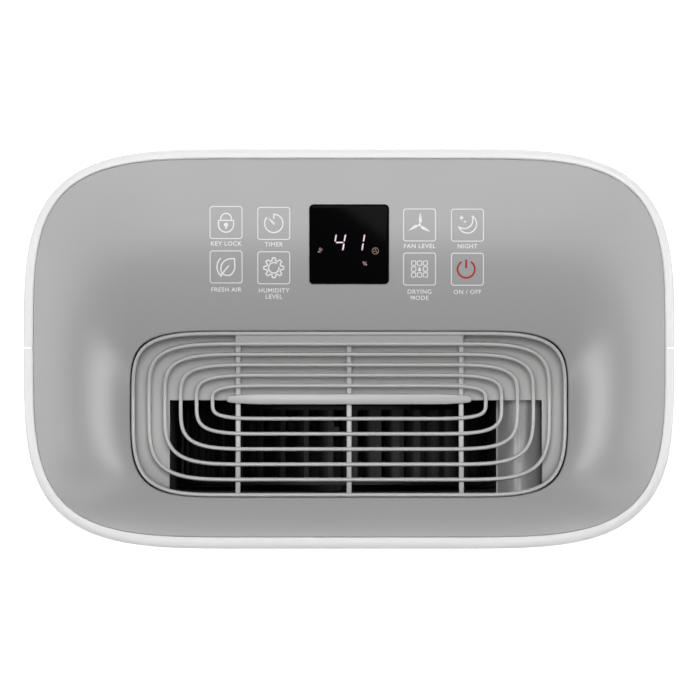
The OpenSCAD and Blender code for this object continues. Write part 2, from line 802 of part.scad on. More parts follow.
// Tube swept along points, with eight sides and the same way up all along.
module swept(points, r) {
    n = len(points);
    sides = 8;
    function way(i) = let (d = points[min(i + 1, n - 1)] - points[max(i - 1, 0)]) d / norm(d);
    function ring(i) =
        let (w = way(i), a = cross(w, [0.06, 0.03, 1]), u = a / norm(a), v = cross(w, u))
        [for (k = [0 : sides - 1]) points[i] + r * (u * cos(360 * k / sides) + v * sin(360 * k / sides))];
    polyhedron([for (i = [0 : n - 1]) each ring(i)], concat(
        [for (i = [0 : n - 2], k = [0 : sides - 1], h = [0, 1])
            let (a = i * sides + k, b = i * sides + (k + 1) % sides)
            h == 0 ? [a, a + sides, b + sides] : [a, b + sides, b]],
        [for (k = [1 : sides - 2]) [0, k, k + 1]],
        [for (k = [1 : sides - 2]) [(n - 1) * sides, (n - 1) * sides + k + 1, (n - 1) * sides + k]]
    ));
}

module capillary_tube() {
    color(copper) swept(capillary_points, 1.2);
}

// ---------- structure ----------

module base_plate() {
    color([0.3, 0.3, 0.3]) difference() {
        union() {
            body_prism(base_z, base_z + base_t, wall + 5.7);
            castor_places() translate([0, 0, base_z - 6]) cylinder(h = 8, r = 9);
        }
        castor_places() translate([0, 0, base_z - 7]) cylinder(h = 10, r = 4 + pin_gap);
        foot_places() translate([0, 0, base_z + base_t - 1]) cylinder(h = 5, r = 3);
    }
}

module mid_deck() {
    color([0.3, 0.3, 0.3]) difference() {
        body_prism(deck_z, deck_z + deck_t, wall + 0.3);
        box([-8.4, drip_y - 8.4, deck_z - 1], [8.4, condenser_y + 8.4, deck_z + deck_t + 1]);
        box([-coil_w / 2 - 32, -2, deck_z - 1],
            [-coil_w / 2 - 19, evaporator_y + coil_t, deck_z + deck_t + 1]);
        translate([spigot_x, spigot_leg_y, deck_z - 1]) cylinder(h = deck_t + 2, r = spigot_r + 0.4);
    }
}

module tank_bay() {
    half = panel_half + 4;
    color([0.3, 0.3, 0.3]) {
        difference() {
            box([-half, bay_y - 2.4, base_z + base_t], [half, bay_y, deck_z]);
            y_rod(2.5, bay_y - 4, bay_y + 1, switch_x, switch_z);
            box([-8.4, bay_y - 3, deck_z - 4.4], [8.4, bay_y + 1, deck_z + 1]);
        }
        for (s = [-1, 1]) box([s > 0 ? half - 2.4 : -half, -84, base_z + base_t],
            [s > 0 ? half : -half + 2.4, bay_y, deck_z]);
    }
}

module electrics_box() {
    color([0.2, 0.2, 0.2]) difference() {
        box([-132, 6, base_z + base_t], [-64, 70, base_z + 118]);
        box([-130, 8, base_z + base_t + 2], [-66, 72, base_z + 116]);
    }
    color([0.2, 0.2, 0.2]) box([-132, 70, base_z + base_t], [-64, 72, base_z + 118]);
}

module run_capacitor() {
    color(steel) translate([-98, 36, base_z + base_t + 2]) {
        cylinder(h = 70, r = 18);
        for (x = [-6, 6]) translate([x, 0, 70 - eps]) cylinder(h = 6, r = 2);
    }
}

module cord_gland() {
    y = body_d / 2 - gland_l;
    color(black) difference() {
        union() {
            y_rod(9, y, body_d / 2, gland_x, gland_z);
            y_rod(12, y, outline_y(gland_x + 12, wall) - 0.5, gland_x, gland_z);
        }
        y_rod(gland_bore, y - 1, body_d, gland_x, gland_z);
    }
}

// Switch behind the bay's wall; its plunger is pressed when the tank is home.
switch_x = 112;
switch_z = tank_z + 50;
module tank_switch() {
    color(black) {
        box([switch_x - 12, bay_y, switch_z - 8], [switch_x + 12, bay_y + 8, switch_z + 8]);
        y_rod(2, tank_y1 + slide_gap, bay_y + 1, switch_x, switch_z);
    }
}

// ---------- intake ----------

module intake_grille() {
    slots = 19;
    columns = 4;
    gap = 0.8;
    w = intake_half_w - seam;
    pitch_z = (intake_z1 - intake_z0 - 20) / slots;
    pitch_x = (2 * w - 20) / columns;
    color(white) difference() {
        intersection() {
            difference() {
                body_prism(intake_z0 + seam, intake_z1 - seam, 0.2);
                body_prism(0, body_h, wall);
            }
            box([-w, 0, 0], [w, body_d, body_h]);
        }
        for (i = [0 : slots - 1], k = [0 : columns - 1])
            box([-w + 10 + k * pitch_x + 2.5, 0, intake_z0 + 10 + i * pitch_z + 2],
                [-w + 10 + (k + 1) * pitch_x - 2.5, body_d, intake_z0 + 10 + (i + 1) * pitch_z - 2.5]);
    }
}

module filter_frame() {
    half = coil_w / 2 + 4;
    z0 = intake_z0 + 4;
    z1 = intake_z1 - 4;
    color(grey) difference() {
        box([-half, filter_y, z0], [half, filter_y + 5, z1]);
        for (i = [0 : 2], k = [0 : 1]) {
            w = (2 * half - 20) / 3;
            h = (z1 - z0 - 14) / 2;
            box([-half + 7 + i * (w + 3), filter_y - 1, z0 + 5 + k * (h + 4)],
                [-half + 7 + i * (w + 3) + w, filter_y + 6, z0 + 5 + k * (h + 4) + h]);
        }
        box([-half + 3, filter_y - 1, z0 + 3], [half - 3, filter_y + 1, z1 - 3]);
    }
}

module filter_mesh() {
    half = coil_w / 2 + 4;
    color(black) box([-half + 3.2, filter_y + 0.3, intake_z0 + 7.2],
        [half - 3.2, filter_y + 1, intake_z1 - 7.2]);
}

module drain_spigot() {
    y = spigot_floor;
    color(black) difference() {
        union() {
            y_rod(spigot_r, spigot_leg_y, y + spigot_l, spigot_x, spigot_z);
            box([spigot_x - spigot_r - 0.5, spigot_leg_y - spigot_r - 0.5, spigot_z - spigot_r - 0.5],
                [spigot_x + spigot_r + 0.5, spigot_leg_y + spigot_r + 0.5, spigot_z + spigot_r + 0.5]);
            translate([spigot_x, spigot_leg_y, spigot_z]) cylinder(h = tray_z - spigot_z, r = spigot_r - 0.5);
            difference() {
                y_rod(spigot_r + 4.6, y - 2, outline_y(spigot_x - spigot_r - 5), spigot_x, spigot_z);
                y_rod(spigot_r + 3.8, y, body_d, spigot_x, spigot_z);
            }
        }
        y_rod(spigot_r - 2, spigot_leg_y, body_d, spigot_x, spigot_z);
        translate([spigot_x, spigot_leg_y, spigot_z]) cylinder(h = tray_z, r = spigot_r - 2);
    }
}

module drain_plug() {
    y = spigot_floor + spigot_l;
    color([0.15, 0.15, 0.15]) {
        y_rod(spigot_r - 2 - pin_gap, y - 10, y + 0.2, spigot_x, spigot_z);
        y_rod(spigot_r - 0.6, y + 0.1, y + 2, spigot_x, spigot_z);
        y_rod(2.5, y + 1.9, y + 6, spigot_x, spigot_z);
    }
}

// ---------- tank ----------

module tank_flat(inset) {
    translate([0, (tank_y0 + tank_y1) / 2])
        soft_square(tank_w - 2 * inset, tank_y1 - tank_y0 - 2 * inset, 18 - inset);
}

module water_tank() {
    color([0.75, 0.8, 0.85, 0.6]) difference() {
        translate([0, 0, tank_z]) linear_extrude(tank_h) tank_flat(0);
        translate([0, 0, tank_z + tank_wall]) linear_extrude(tank_h) tank_flat(tank_wall);
    }
}

module tank_front() {
    w = panel_half - seam;
    z0 = panel_z + seam;
    z1 = panel_z + panel_h - seam;
    color(white) difference() {
        union() {
            intersection() {
                difference() {
                    body_prism(z0, z1, 0);
                    body_prism(0, body_h, 3);
                }
                box([-w, -body_d, 0], [w, 0, body_h]);
            }
            box([-50, -body_d / 2 + 1, z1 - 34], [50, tank_y0 - 0.4, z1 - 6]);
            for (x = [-80, 80]) box([x - 8, -body_d / 2 + 2.8, z0 + 20], [x + 8, tank_y0, z0 + 110]);
        }
        box([-47, -body_d, z1 - 31], [47, -body_d / 2 + 13, z1 - 9]);
        box([-9, -body_d, z0 + 26], [9, 0, z0 + 116]);
    }
}

module level_window() {
    z0 = panel_z + seam;
    color([0.2, 0.25, 0.3, 0.7])
        box([-9 + 0.1, -body_d / 2 + 0.5, z0 + 26.1], [9 - 0.1, -body_d / 2 + 3, z0 + 115.9]);
}

module tank_lid() {
    color(white) {
        difference() {
            union() {
                translate([0, 0, tank_top]) linear_extrude(4) tank_flat(0);
                translate([0, 0, tank_top - 5]) linear_extrude(5 + eps) tank_flat(tank_wall + 0.3);
            }
            translate([0, 0, tank_top - 6]) linear_extrude(6) tank_flat(tank_wall + 2.3);
            translate([0, drip_y, tank_top - 6]) linear_extrude(12) square([90, 16], center = true);
        }
        for (s = [-1, 1]) difference() {
            box([s * 112 - 3, bail_y - 8, tank_top + 4 - eps], [s * 112 + 3, bail_y + 8, bail_z + 7]);
            x_rod(3 + pin_gap, s * 112 - 4, s * 112 + 4, bail_y, bail_z);
        }
        for (s = [-1, 1]) difference() {
            box([float_x + s * 18 - 1.6, float_y - 4, float_z - 4],
                [float_x + s * 18 + 1.6, float_y + 4, tank_top + 1]);
            x_rod(2 + pin_gap, float_x + s * 18 - 4, float_x + s * 18 + 4, float_y, float_z);
        }
    }
}

// Bail that lies back on the lid and swings up to carry the tank.
module tank_handle() {
    color(grey) {
        for (s = [-1, 1]) {
            x_rod(3, s * 112 - (s > 0 ? 4 : 8), s * 112 + (s > 0 ? 8 : 4), bail_y, bail_z);
            box([s * 118 - 2.4, bail_y - 5, bail_z - 5], [s * 118 + 2.4, bail_y + bail_reach, bail_z + 5]);
        }
        x_rod(bail_r, -120.4, 120.4, bail_y + bail_reach, bail_z);
    }
}

float_x = -98;
float_y = -80;
float_z = tank_top - 14;
module tank_float() {
    color([0.9, 0.9, 0.88]) {
        x_rod(2, float_x - 20, float_x + 20, float_y, float_z);
        box([float_x - 15.5, float_y - 3, float_z - 5], [float_x + 15.5, float_y + 3, float_z + 2]);
        box([float_x - 14, float_y + 1, float_z - 20], [float_x + 14, float_y + 44, float_z - 2]);
    }
}

// ---------- castors ----------

module castor_places() {
    for (x = [-castor_x, castor_x], y = [-castor_y, castor_y]) translate([x, y, 0]) children();
}

// Swivel fork with its stem; the wheel trails behind the stem.
module castor_fork(x, y) {
    cheek = wheel_w / 2 + 0.8;
    color([0.18, 0.18, 0.18]) translate([x, y, 0]) difference() {
        union() {
            translate([0, 0, base_z - 10.4]) cylinder(h = 4, r = 12);
            translate([0, 0, base_z - 7]) cylinder(h = 9.6, r = 4);
            for (s = [-1, 1]) box([s > 0 ? cheek : -cheek - 2.2, -5, wheel_r - 3],
                [s > 0 ? cheek + 2.2 : -cheek, trail + 4, base_z - 10]);
            x_rod(2.2, -cheek - 2.2, cheek + 2.2, trail, wheel_r);
        }
    }
}

module castor_wheel(x, y) {
    color([0.25, 0.25, 0.25]) translate([x, y + trail, wheel_r]) rotate([0, 90, 0]) rotate_extrude() polygon([
        [2.2 + pin_gap, -wheel_w / 2], [wheel_r - 1.2, -wheel_w / 2], [wheel_r, -wheel_w / 2 + 1.2],
        [wheel_r, wheel_w / 2 - 1.2], [wheel_r - 1.2, wheel_w / 2], [2.2 + pin_gap, wheel_w / 2]
    ]);
}

// ---------- nodes ----------

front_shell();
rear_shell();
top_cover();
outlet_grille();
outlet_well();
well_seal();
display_window();
display_module();
control_board();
touch_springs();
board_screws();
handle_cup(-1);  // handle_cup_left
handle_cup(1);  // handle_cup_right
base_plate();
mid_deck();
tank_bay();
shell_screws();
fan_scroll();
scroll_cover();
fan_wheel();
motor_shaft();
fan_nut();
fan_motor();
motor_screws();
color(steel) fin_pack(evaporator_y);  // evaporator_fins
color(copper) serpentine(evaporator_y);  // evaporator_tube
color(steel) fin_pack(condenser_y);  // condenser_fins
color(copper) serpentine(condenser_y);  // condenser_tube
drain_tray();
drain_elbow();
compressor();
accumulator();
compressor_grommets();
compressor_bolts();
discharge_pipe();
suction_pipe();
capillary_tube();
electrics_box();
run_capacitor();
cord_gland();
tank_switch();
intake_grille();
filter_frame();
filter_mesh();
drain_spigot();
drain_plug();
water_tank();
tank_front();
level_window();
tank_lid();
tank_handle();
tank_float();
castor_fork(-castor_x, -castor_y);  // castor_fork_front_left
castor_wheel(-castor_x, -castor_y);  // castor_wheel_front_left
castor_fork(castor_x, -castor_y);  // castor_fork_front_right
castor_wheel(castor_x, -castor_y);  // castor_wheel_front_right
castor_fork(-castor_x, castor_y);  // castor_fork_rear_left
castor_wheel(-castor_x, castor_y);  // castor_wheel_rear_left
castor_fork(castor_x, castor_y);  // castor_fork_rear_right
castor_wheel(castor_x, castor_y);  // castor_wheel_rear_right
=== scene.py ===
import json
import math

import bmesh
import bpy
import numpy as np
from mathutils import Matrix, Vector


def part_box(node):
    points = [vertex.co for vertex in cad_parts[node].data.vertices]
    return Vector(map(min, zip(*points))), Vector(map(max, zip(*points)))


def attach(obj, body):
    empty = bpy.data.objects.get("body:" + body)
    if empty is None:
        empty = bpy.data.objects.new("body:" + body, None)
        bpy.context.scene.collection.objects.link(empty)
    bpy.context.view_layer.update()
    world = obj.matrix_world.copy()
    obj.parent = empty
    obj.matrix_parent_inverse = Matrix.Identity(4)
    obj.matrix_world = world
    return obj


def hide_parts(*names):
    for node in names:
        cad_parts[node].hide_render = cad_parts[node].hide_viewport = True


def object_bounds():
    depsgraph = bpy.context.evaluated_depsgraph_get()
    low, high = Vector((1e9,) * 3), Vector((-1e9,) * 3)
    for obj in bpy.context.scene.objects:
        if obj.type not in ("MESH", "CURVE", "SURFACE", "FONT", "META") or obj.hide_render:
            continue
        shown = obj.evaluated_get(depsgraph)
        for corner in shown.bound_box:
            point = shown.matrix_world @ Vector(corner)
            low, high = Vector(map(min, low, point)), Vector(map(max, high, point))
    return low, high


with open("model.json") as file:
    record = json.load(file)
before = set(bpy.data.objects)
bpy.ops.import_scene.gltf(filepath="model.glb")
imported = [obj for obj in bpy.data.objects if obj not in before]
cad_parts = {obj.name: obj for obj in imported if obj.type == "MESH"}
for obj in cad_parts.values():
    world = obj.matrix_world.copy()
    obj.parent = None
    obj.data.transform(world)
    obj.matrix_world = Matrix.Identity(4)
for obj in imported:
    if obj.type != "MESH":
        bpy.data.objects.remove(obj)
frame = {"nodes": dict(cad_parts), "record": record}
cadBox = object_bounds()
nodes = frame["nodes"]
mm = 0.001
print("frame loaded:", len(nodes), "nodes")

# The cabinet's own sizes, in millimetres; everything below is laid out from them.
cabinet = {
    "halfW": cadBox[1][0] / mm, "halfD": cadBox[1][1] / mm, "top": cadBox[1][2] / mm, "straight": 57.0,
    "power": 3.7, "rim": 5.0, "seam": 0.4, "skirt": 20.0,
}
grille = {
    "halfW": 123.3, "rear": 38.8, "front": 52.7, "barY": -30.75, "rings": 6, "pitchX": 9.06,
    "pitchRear": 5.92,
    "pitchFront": 8.62, "power": 4.2, "straight": 0.5, "recess": 0.8, "barW": 2.2, "barH": 4.2, "gap": 0.6,
}
dish = {"mid": 20.0, "rear": 12.0, "front": 9.0, "drop": 0.6, "edge": 2.6}


def outlineAt(t, inset=0.0):
    # superellipse with a straight middle:
    # x = sign(cos t)(straight + (halfW - straight - inset)|cos t|^(2/p)),
    # y = (halfD - inset) sign(sin t)|sin t|^(2/p); the inset shrinks by 0.24 sin^2 2t towards the corners
    c, s = np.cos(t), np.sin(t)
    c, s = np.where(abs(c) < 1e-9, 0, c), np.where(abs(s) < 1e-9, 0, s)
    e = 2 / cabinet["power"]
    inset = inset * (1 - 0.24 * np.sin(2 * t) ** 2)
    x = np.sign(c) * (cabinet["straight"] + (cabinet["halfW"] - cabinet["straight"] - inset) * abs(c) ** e)
    y = np.sign(s) * (cabinet["halfD"] - inset) * abs(s) ** e
    return np.stack([x, y], -1)


def outlineY(x, inset=0.0):
    # the same outline as y of x, for its back half
    u = np.clip((abs(x) - cabinet["straight"]) / (cabinet["halfW"] - cabinet["straight"] - inset), 0, 1)
    return (cabinet["halfD"] - inset) * (1 - u ** cabinet["power"]) ** (1 / cabinet["power"])


def evenTurns(count, start, end, closed=True):
    # angles whose points on the outline are the same distance apart, by inverting the running length
    t = np.linspace(start, end, 6001)
    length = np.concatenate([[0], np.cumsum(np.linalg.norm(np.diff(outlineAt(t), axis=0), axis=1))])
    return np.interp(np.linspace(0, length[-1], count + 1)[:-1 if closed else None], length, t)


def ringAt(k, off, t):
    # ring k of the grille: a superellipse with different reaches behind and in front of the centre bar
    c, s = np.cos(t), np.sin(t)
    c, s = np.where(abs(c) < 1e-9, 0, c), np.where(abs(s) < 1e-9, 0, s)
    e = 2 / grille["power"]
    reach = np.where(s > 0, grille["rear"] - k * grille["pitchRear"],
        grille["front"] - k * grille["pitchFront"])
    halfW = grille["halfW"] - k * grille["pitchX"] + off
    x = np.sign(c) * halfW * (grille["straight"] + (1 - grille["straight"]) * abs(c) ** e)
    return np.stack([x, grille["barY"] + np.sign(s) * (reach + off) * abs(s) ** e], -1)


def valley(y):
    # depth below the rim along the grille: two parabolas that meet level at the centre bar
    d = y - grille["barY"]
    back = dish["mid"] - (dish["mid"] - dish["rear"]) * (d / grille["rear"]) ** 2
    front = dish["mid"] - (dish["mid"] - dish["front"]) * (d / grille["front"]) ** 2
    return np.where(d > 0, back, front)


def valleySlope(y):
    # slope dz/dy of that surface
    d = y - grille["barY"]
    return np.where(d > 0, 2 * (dish["mid"] - dish["rear"]) * d / grille["rear"] ** 2,
        2 * (dish["mid"] - dish["front"]) * d / grille["front"] ** 2)


def gridFaces(rows, cols, wrapRows=False, wrapCols=False, flip=False):
    # quads (r, c), (r, c+1), (r+1, c+1), (r+1, c) of a grid, wrapping round where asked
    r = np.arange(rows if wrapRows else rows - 1)[:, None]
    c = np.arange(cols if wrapCols else cols - 1)[None, :]
    a, b = r * cols + c, r * cols + (c + 1) % cols
    d, e = ((r + 1) % rows) * cols + c, ((r + 1) % rows) * cols + (c + 1) % cols
    quads = np.stack([a, b, e, d], -1).reshape(-1, 4)
    return quads[:, ::-1] if flip else quads


def gridPart(points, wrapRows=False, wrapCols=False, flip=False, caps=False):
    # a grid of points as (vertices, faces); caps close the first and last row with one face each
    rows, cols = points.shape[:2]
    faces = [list(q) for q in gridFaces(rows, cols, wrapRows, wrapCols, flip).tolist()]
    if caps:
        first, last = list(range(cols)), list(range((rows - 1) * cols, rows * cols))
        faces += [first[::-1] if not flip else first, last if not flip else last[::-1]]
    return points.reshape(-1, 3), faces


def loopFrame(path, up):
    # for a closed path: the sideways direction, level across the path and square to up, at each point
    along = np.roll(path, -1, 0) - np.roll(path, 1, 0)
    along /= np.linalg.norm(along, axis=1, keepdims=True)
    side = np.cross(along, up)
    return side / np.linalg.norm(side, axis=1, keepdims=True)


def barSection(w, h, r, taper=0.85, steps=5):
    # rounded bar section, top at 0: four quarter circles of radius r, narrowed to taper at the bottom
    q = np.linspace(0, math.pi / 2, steps)
    corners = [(w / 2 - r, -r, 0), (-w / 2 + r, -r, 1), (-w / 2 + r, -h + r, 2), (w / 2 - r, -h + r, 3)]
    p = np.concatenate([np.stack([cx + r * np.cos(q + k * math.pi / 2),
        cy + r * np.sin(q + k * math.pi / 2)], -1)
        for cx, cy, k in corners])
    p[:, 0] *= 1 - (1 - taper) * (-p[:, 1] / h)
    return p


def roundBox(lo, hi, r, n=4):
    # box with round edges: each point of a cube grid goes to the inner box's nearest point, then r outwards
    lo, hi = np.array(lo, float), np.array(hi, float)
    mid, half = (lo + hi) / 2, (hi - lo) / 2
    r = min(r, half.min() * 0.98)
    inner = half - r
    a = np.concatenate([np.tan(np.linspace(-math.pi / 4, 0, n + 1)) * 0.5 - 0.5,
        np.tan(np.linspace(0, math.pi / 4, n + 1)) * 0.5 + 0.5])
    u, v = np.meshgrid(a, a, indexing="ij")
    parts = []
    for axis in range(3):
        for sign in (-1, 1):
            p = np.zeros(u.shape + (3,))
            p[..., axis] = sign
            p[..., (axis + 1) % 3] = u
            p[..., (axis + 2) % 3] = v
            sub = np.where(abs(p) > 0.5, (abs(p) - 0.5) * 2, 0) * np.sign(p)
            sub[..., axis] = sign
            out = sub / np.linalg.norm(sub, axis=-1, keepdims=True)
            parts.append(gridPart(np.sign(p) * inner * (abs(p) >= 0.5) + out * r + mid, flip=sign < 0))
    return joined(parts)


def lathe(profile, centre, axis, steps=64, closed=False):
    # profile of (radius, along) turned about an axis through centre
    turn = np.linspace(0, 2 * math.pi, steps, endpoint=False)
    profile = np.array(profile, float)
    u, v = {"X": ((0, 1, 0), (0, 0, 1)), "Y": ((0, 0, 1), (1, 0, 0)), "Z": ((1, 0, 0), (0, 1, 0))}[axis]
    w = np.cross(u, v)
    radial = np.cos(turn)[None, :, None] * np.array(u) + np.sin(turn)[None, :, None] * np.array(v)
    points = np.array(centre) + profile[:, None, :1] * radial + profile[:, None, 1:] * np.array(w)
    return gridPart(points, wrapRows=closed, wrapCols=True)


def joined(parts):
    # several (vertices, faces) as one
    verts, faces, base = [], [], 0
    for v, f in parts:
        verts.append(np.asarray(v).reshape(-1, 3))
        faces += [[i + base for i in face] for face in f]
        base += len(verts[-1])
    return np.concatenate(verts), faces


def makeMesh(name, part, angle=35, merge=0.002, outward=True):
    # part in millimetres becomes a mesh in metres, merged, facing outwards, smooth up to the angle
    mesh = bpy.data.meshes.new(name)
    mesh.from_pydata((np.asarray(part[0]) * mm).tolist(), [], part[1])
    bm = bmesh.new()
    bm.from_mesh(mesh)
    if merge:
        bmesh.ops.remove_doubles(bm, verts=bm.verts, dist=merge * mm)
        bmesh.ops.dissolve_degenerate(bm, dist=1e-7, edges=bm.edges)
    if outward:
        bmesh.ops.recalc_face_normals(bm, faces=bm.faces)
    bm.to_mesh(mesh)
    bm.free()
    mesh.shade_smooth()
    mesh.set_sharp_from_angle(angle=math.radians(angle))
    return mesh


def addPiece(name, mesh, material, body, replaced=()):
    # puts a finished mesh into the scene, on its body
    piece = bpy.data.objects.new(name, mesh)
    bpy.context.scene.collection.objects.link(piece)
    mesh.materials.clear()
    mesh.materials.append(material)
    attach(piece, body)
    if replaced:
        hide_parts(*replaced)
    return piece


def cutAway(mesh, cutters, name, angle=35):
    # the mesh without the cutters' solids, as a new mesh
    body = bpy.data.objects.new("cutBody", mesh)
    bpy.context.scene.collection.objects.link(body)
    helpers = []
    for cutter in cutters:
        helper = bpy.data.objects.new("cutTool", makeMesh("cutTool", cutter))
        bpy.context.scene.collection.objects.link(helper)
        helpers.append(helper)
        step = body.modifiers.new("cut", "BOOLEAN")
        step.operation, step.solver, step.object = "DIFFERENCE", "EXACT", helper
    bpy.context.view_layer.update()
    result = bpy.data.meshes.new_from_object(body.evaluated_get(bpy.context.evaluated_depsgraph_get()))
    result.name = name
    for helper in helpers + [body]:
        bpy.data.objects.remove(helper)
    result.shade_smooth()
    result.set_sharp_from_angle(angle=math.radians(angle))
    return result


def newGroup(name, inputs, outputs):
    # an empty node group with float or colour inputs; returns the group, its input node and its output node
    group = bpy.data.node_groups.new(name, "ShaderNodeTree")
    for label, kind, value in inputs:
        socket = group.interface.new_socket(name=label, in_out="INPUT", socket_type=kind)
        if value is not None:
            socket.default_value = value
    for label, kind in outputs:
        group.interface.new_socket(name=label, in_out="OUTPUT", socket_type=kind)
    return group, group.nodes.new("NodeGroupInput"), group.nodes.new("NodeGroupOutput")


def mathNode(tree, operation, a, b=None, clamp=False):
    node = tree.nodes.new("ShaderNodeMath")
    node.operation, node.use_clamp = operation, clamp
    for socket, value in zip(node.inputs, (a, b)):
        if value is None:
            continue
        if isinstance(value, (int, float)):
            socket.default_value = value
        else:
            tree.links.new(value, socket)
    return node.outputs[0]


def buildGrain():
    # moulded grain: fine noise for the bump, slow noise for the roughness, both on object coordinates
    group, given, out = newGroup("mouldGrain", [
        ("Size", "NodeSocketFloat", 2500.0), ("Depth", "NodeSocketFloat", 0.1),
        ("Rough", "NodeSocketFloat", 0.4),
        ("Spread", "NodeSocketFloat", 0.05)],
        [("Normal", "NodeSocketVector"), ("Roughness", "NodeSocketFloat")])
    where = group.nodes.new("ShaderNodeTexCoord")
    fine = group.nodes.new("ShaderNodeTexNoise")
    fine.inputs["Detail"].default_value = 3.0
    slow = group.nodes.new("ShaderNodeTexNoise")
    slow.inputs["Scale"].default_value = 22.0
    slow.inputs["Detail"].default_value = 4.0
    bump = group.nodes.new("ShaderNodeBump")
    bump.inputs["Distance"].default_value = 0.00005
    link = group.links.new
    link(where.outputs["Object"], fine.inputs["Vector"])
    link(where.outputs["Object"], slow.inputs["Vector"])
    link(given.outputs["Size"], fine.inputs["Scale"])
    link(given.outputs["Depth"], bump.inputs["Strength"])
    link(fine.outputs["Fac"], bump.inputs["Height"])
    link(bump.outputs["Normal"], out.inputs["Normal"])
    swing = mathNode(group, "MULTIPLY", mathNode(group, "SUBTRACT", slow.outputs["Fac"], 0.5),
        given.outputs["Spread"])
    link(mathNode(group, "ADD", given.outputs["Rough"], swing, clamp=True), out.inputs["Roughness"])
    return group


def buildTint():
    # slow colour drift and fine speckle round a base colour
    group, given, out = newGroup("tintDrift", [
        ("Base", "NodeSocketColor", (0.5, 0.5, 0.5, 1)), ("Drift", "NodeSocketFloat", 0.04),
        ("Speckle", "NodeSocketFloat", 0.02), ("Size", "NodeSocketFloat", 900.0)],
        [("Color", "NodeSocketColor")])
    where = group.nodes.new("ShaderNodeTexCoord")
    slow = group.nodes.new("ShaderNodeTexNoise")
    slow.inputs["Scale"].default_value = 9.0
    fine = group.nodes.new("ShaderNodeTexNoise")
    link = group.links.new
    link(where.outputs["Object"], slow.inputs["Vector"])
    link(where.outputs["Object"], fine.inputs["Vector"])
    link(given.outputs["Size"], fine.inputs["Scale"])
    a = mathNode(group, "MULTIPLY", mathNode(group, "SUBTRACT", slow.outputs["Fac"], 0.5),
        given.outputs["Drift"])
    b = mathNode(group, "MULTIPLY", mathNode(group, "SUBTRACT", fine.outputs["Fac"], 0.5),
        given.outputs["Speckle"])
    lift = mathNode(group, "ADD", mathNode(group, "ADD", a, b), 1.0)
    shade = group.nodes.new("ShaderNodeHueSaturation")
    link(lift, shade.inputs["Value"])
    link(given.outputs["Base"], shade.inputs["Color"])
    link(shade.outputs["Color"], out.inputs["Color"])
    return group


grainGroup = buildGrain()
tintGroup = buildTint()


def finish(name, color, rough=0.4, metal=0.0, size=2500.0, depth=0.1, spread=0.06, drift=0.04, speckle=0.02,
        coat=0.0, alpha=None, glow=None, gloss=0.5):
    # one moulded, painted or metal finish: tint and grain groups feeding a Principled shader
    material = bpy.data.materials.new(name)
    material.use_nodes = True
    tree = material.node_tree
    shader = tree.nodes["Principled BSDF"]
    grain = tree.nodes.new("ShaderNodeGroup")
    grain.node_tree = grainGroup
    tint = tree.nodes.new("ShaderNodeGroup")
    tint.node_tree = tintGroup
    for key, value in (("Size", size), ("Depth", depth), ("Rough", rough), ("Spread", spread)):
        grain.inputs[key].default_value = value
    for key, value in (("Base", (*color, 1)), ("Drift", drift), ("Speckle", speckle)):
        tint.inputs[key].default_value = value
    tree.links.new(tint.outputs["Color"], shader.inputs["Base Color"])
    tree.links.new(grain.outputs["Normal"], shader.inputs["Normal"])
    tree.links.new(grain.outputs["Roughness"], shader.inputs["Roughness"])
    shader.inputs["Metallic"].default_value = metal
    shader.inputs["Coat Weight"].default_value = coat
    shader.inputs["Coat Roughness"].default_value = 0.12
    shader.inputs["Specular IOR Level"].default_value = gloss
    if alpha is not None:
        shader.inputs["Alpha"].default_value = alpha
    if glow:
        shader.inputs["Emission Color"].default_value = (*color, 1)
        shader.inputs["Emission Strength"].default_value = glow
    return material


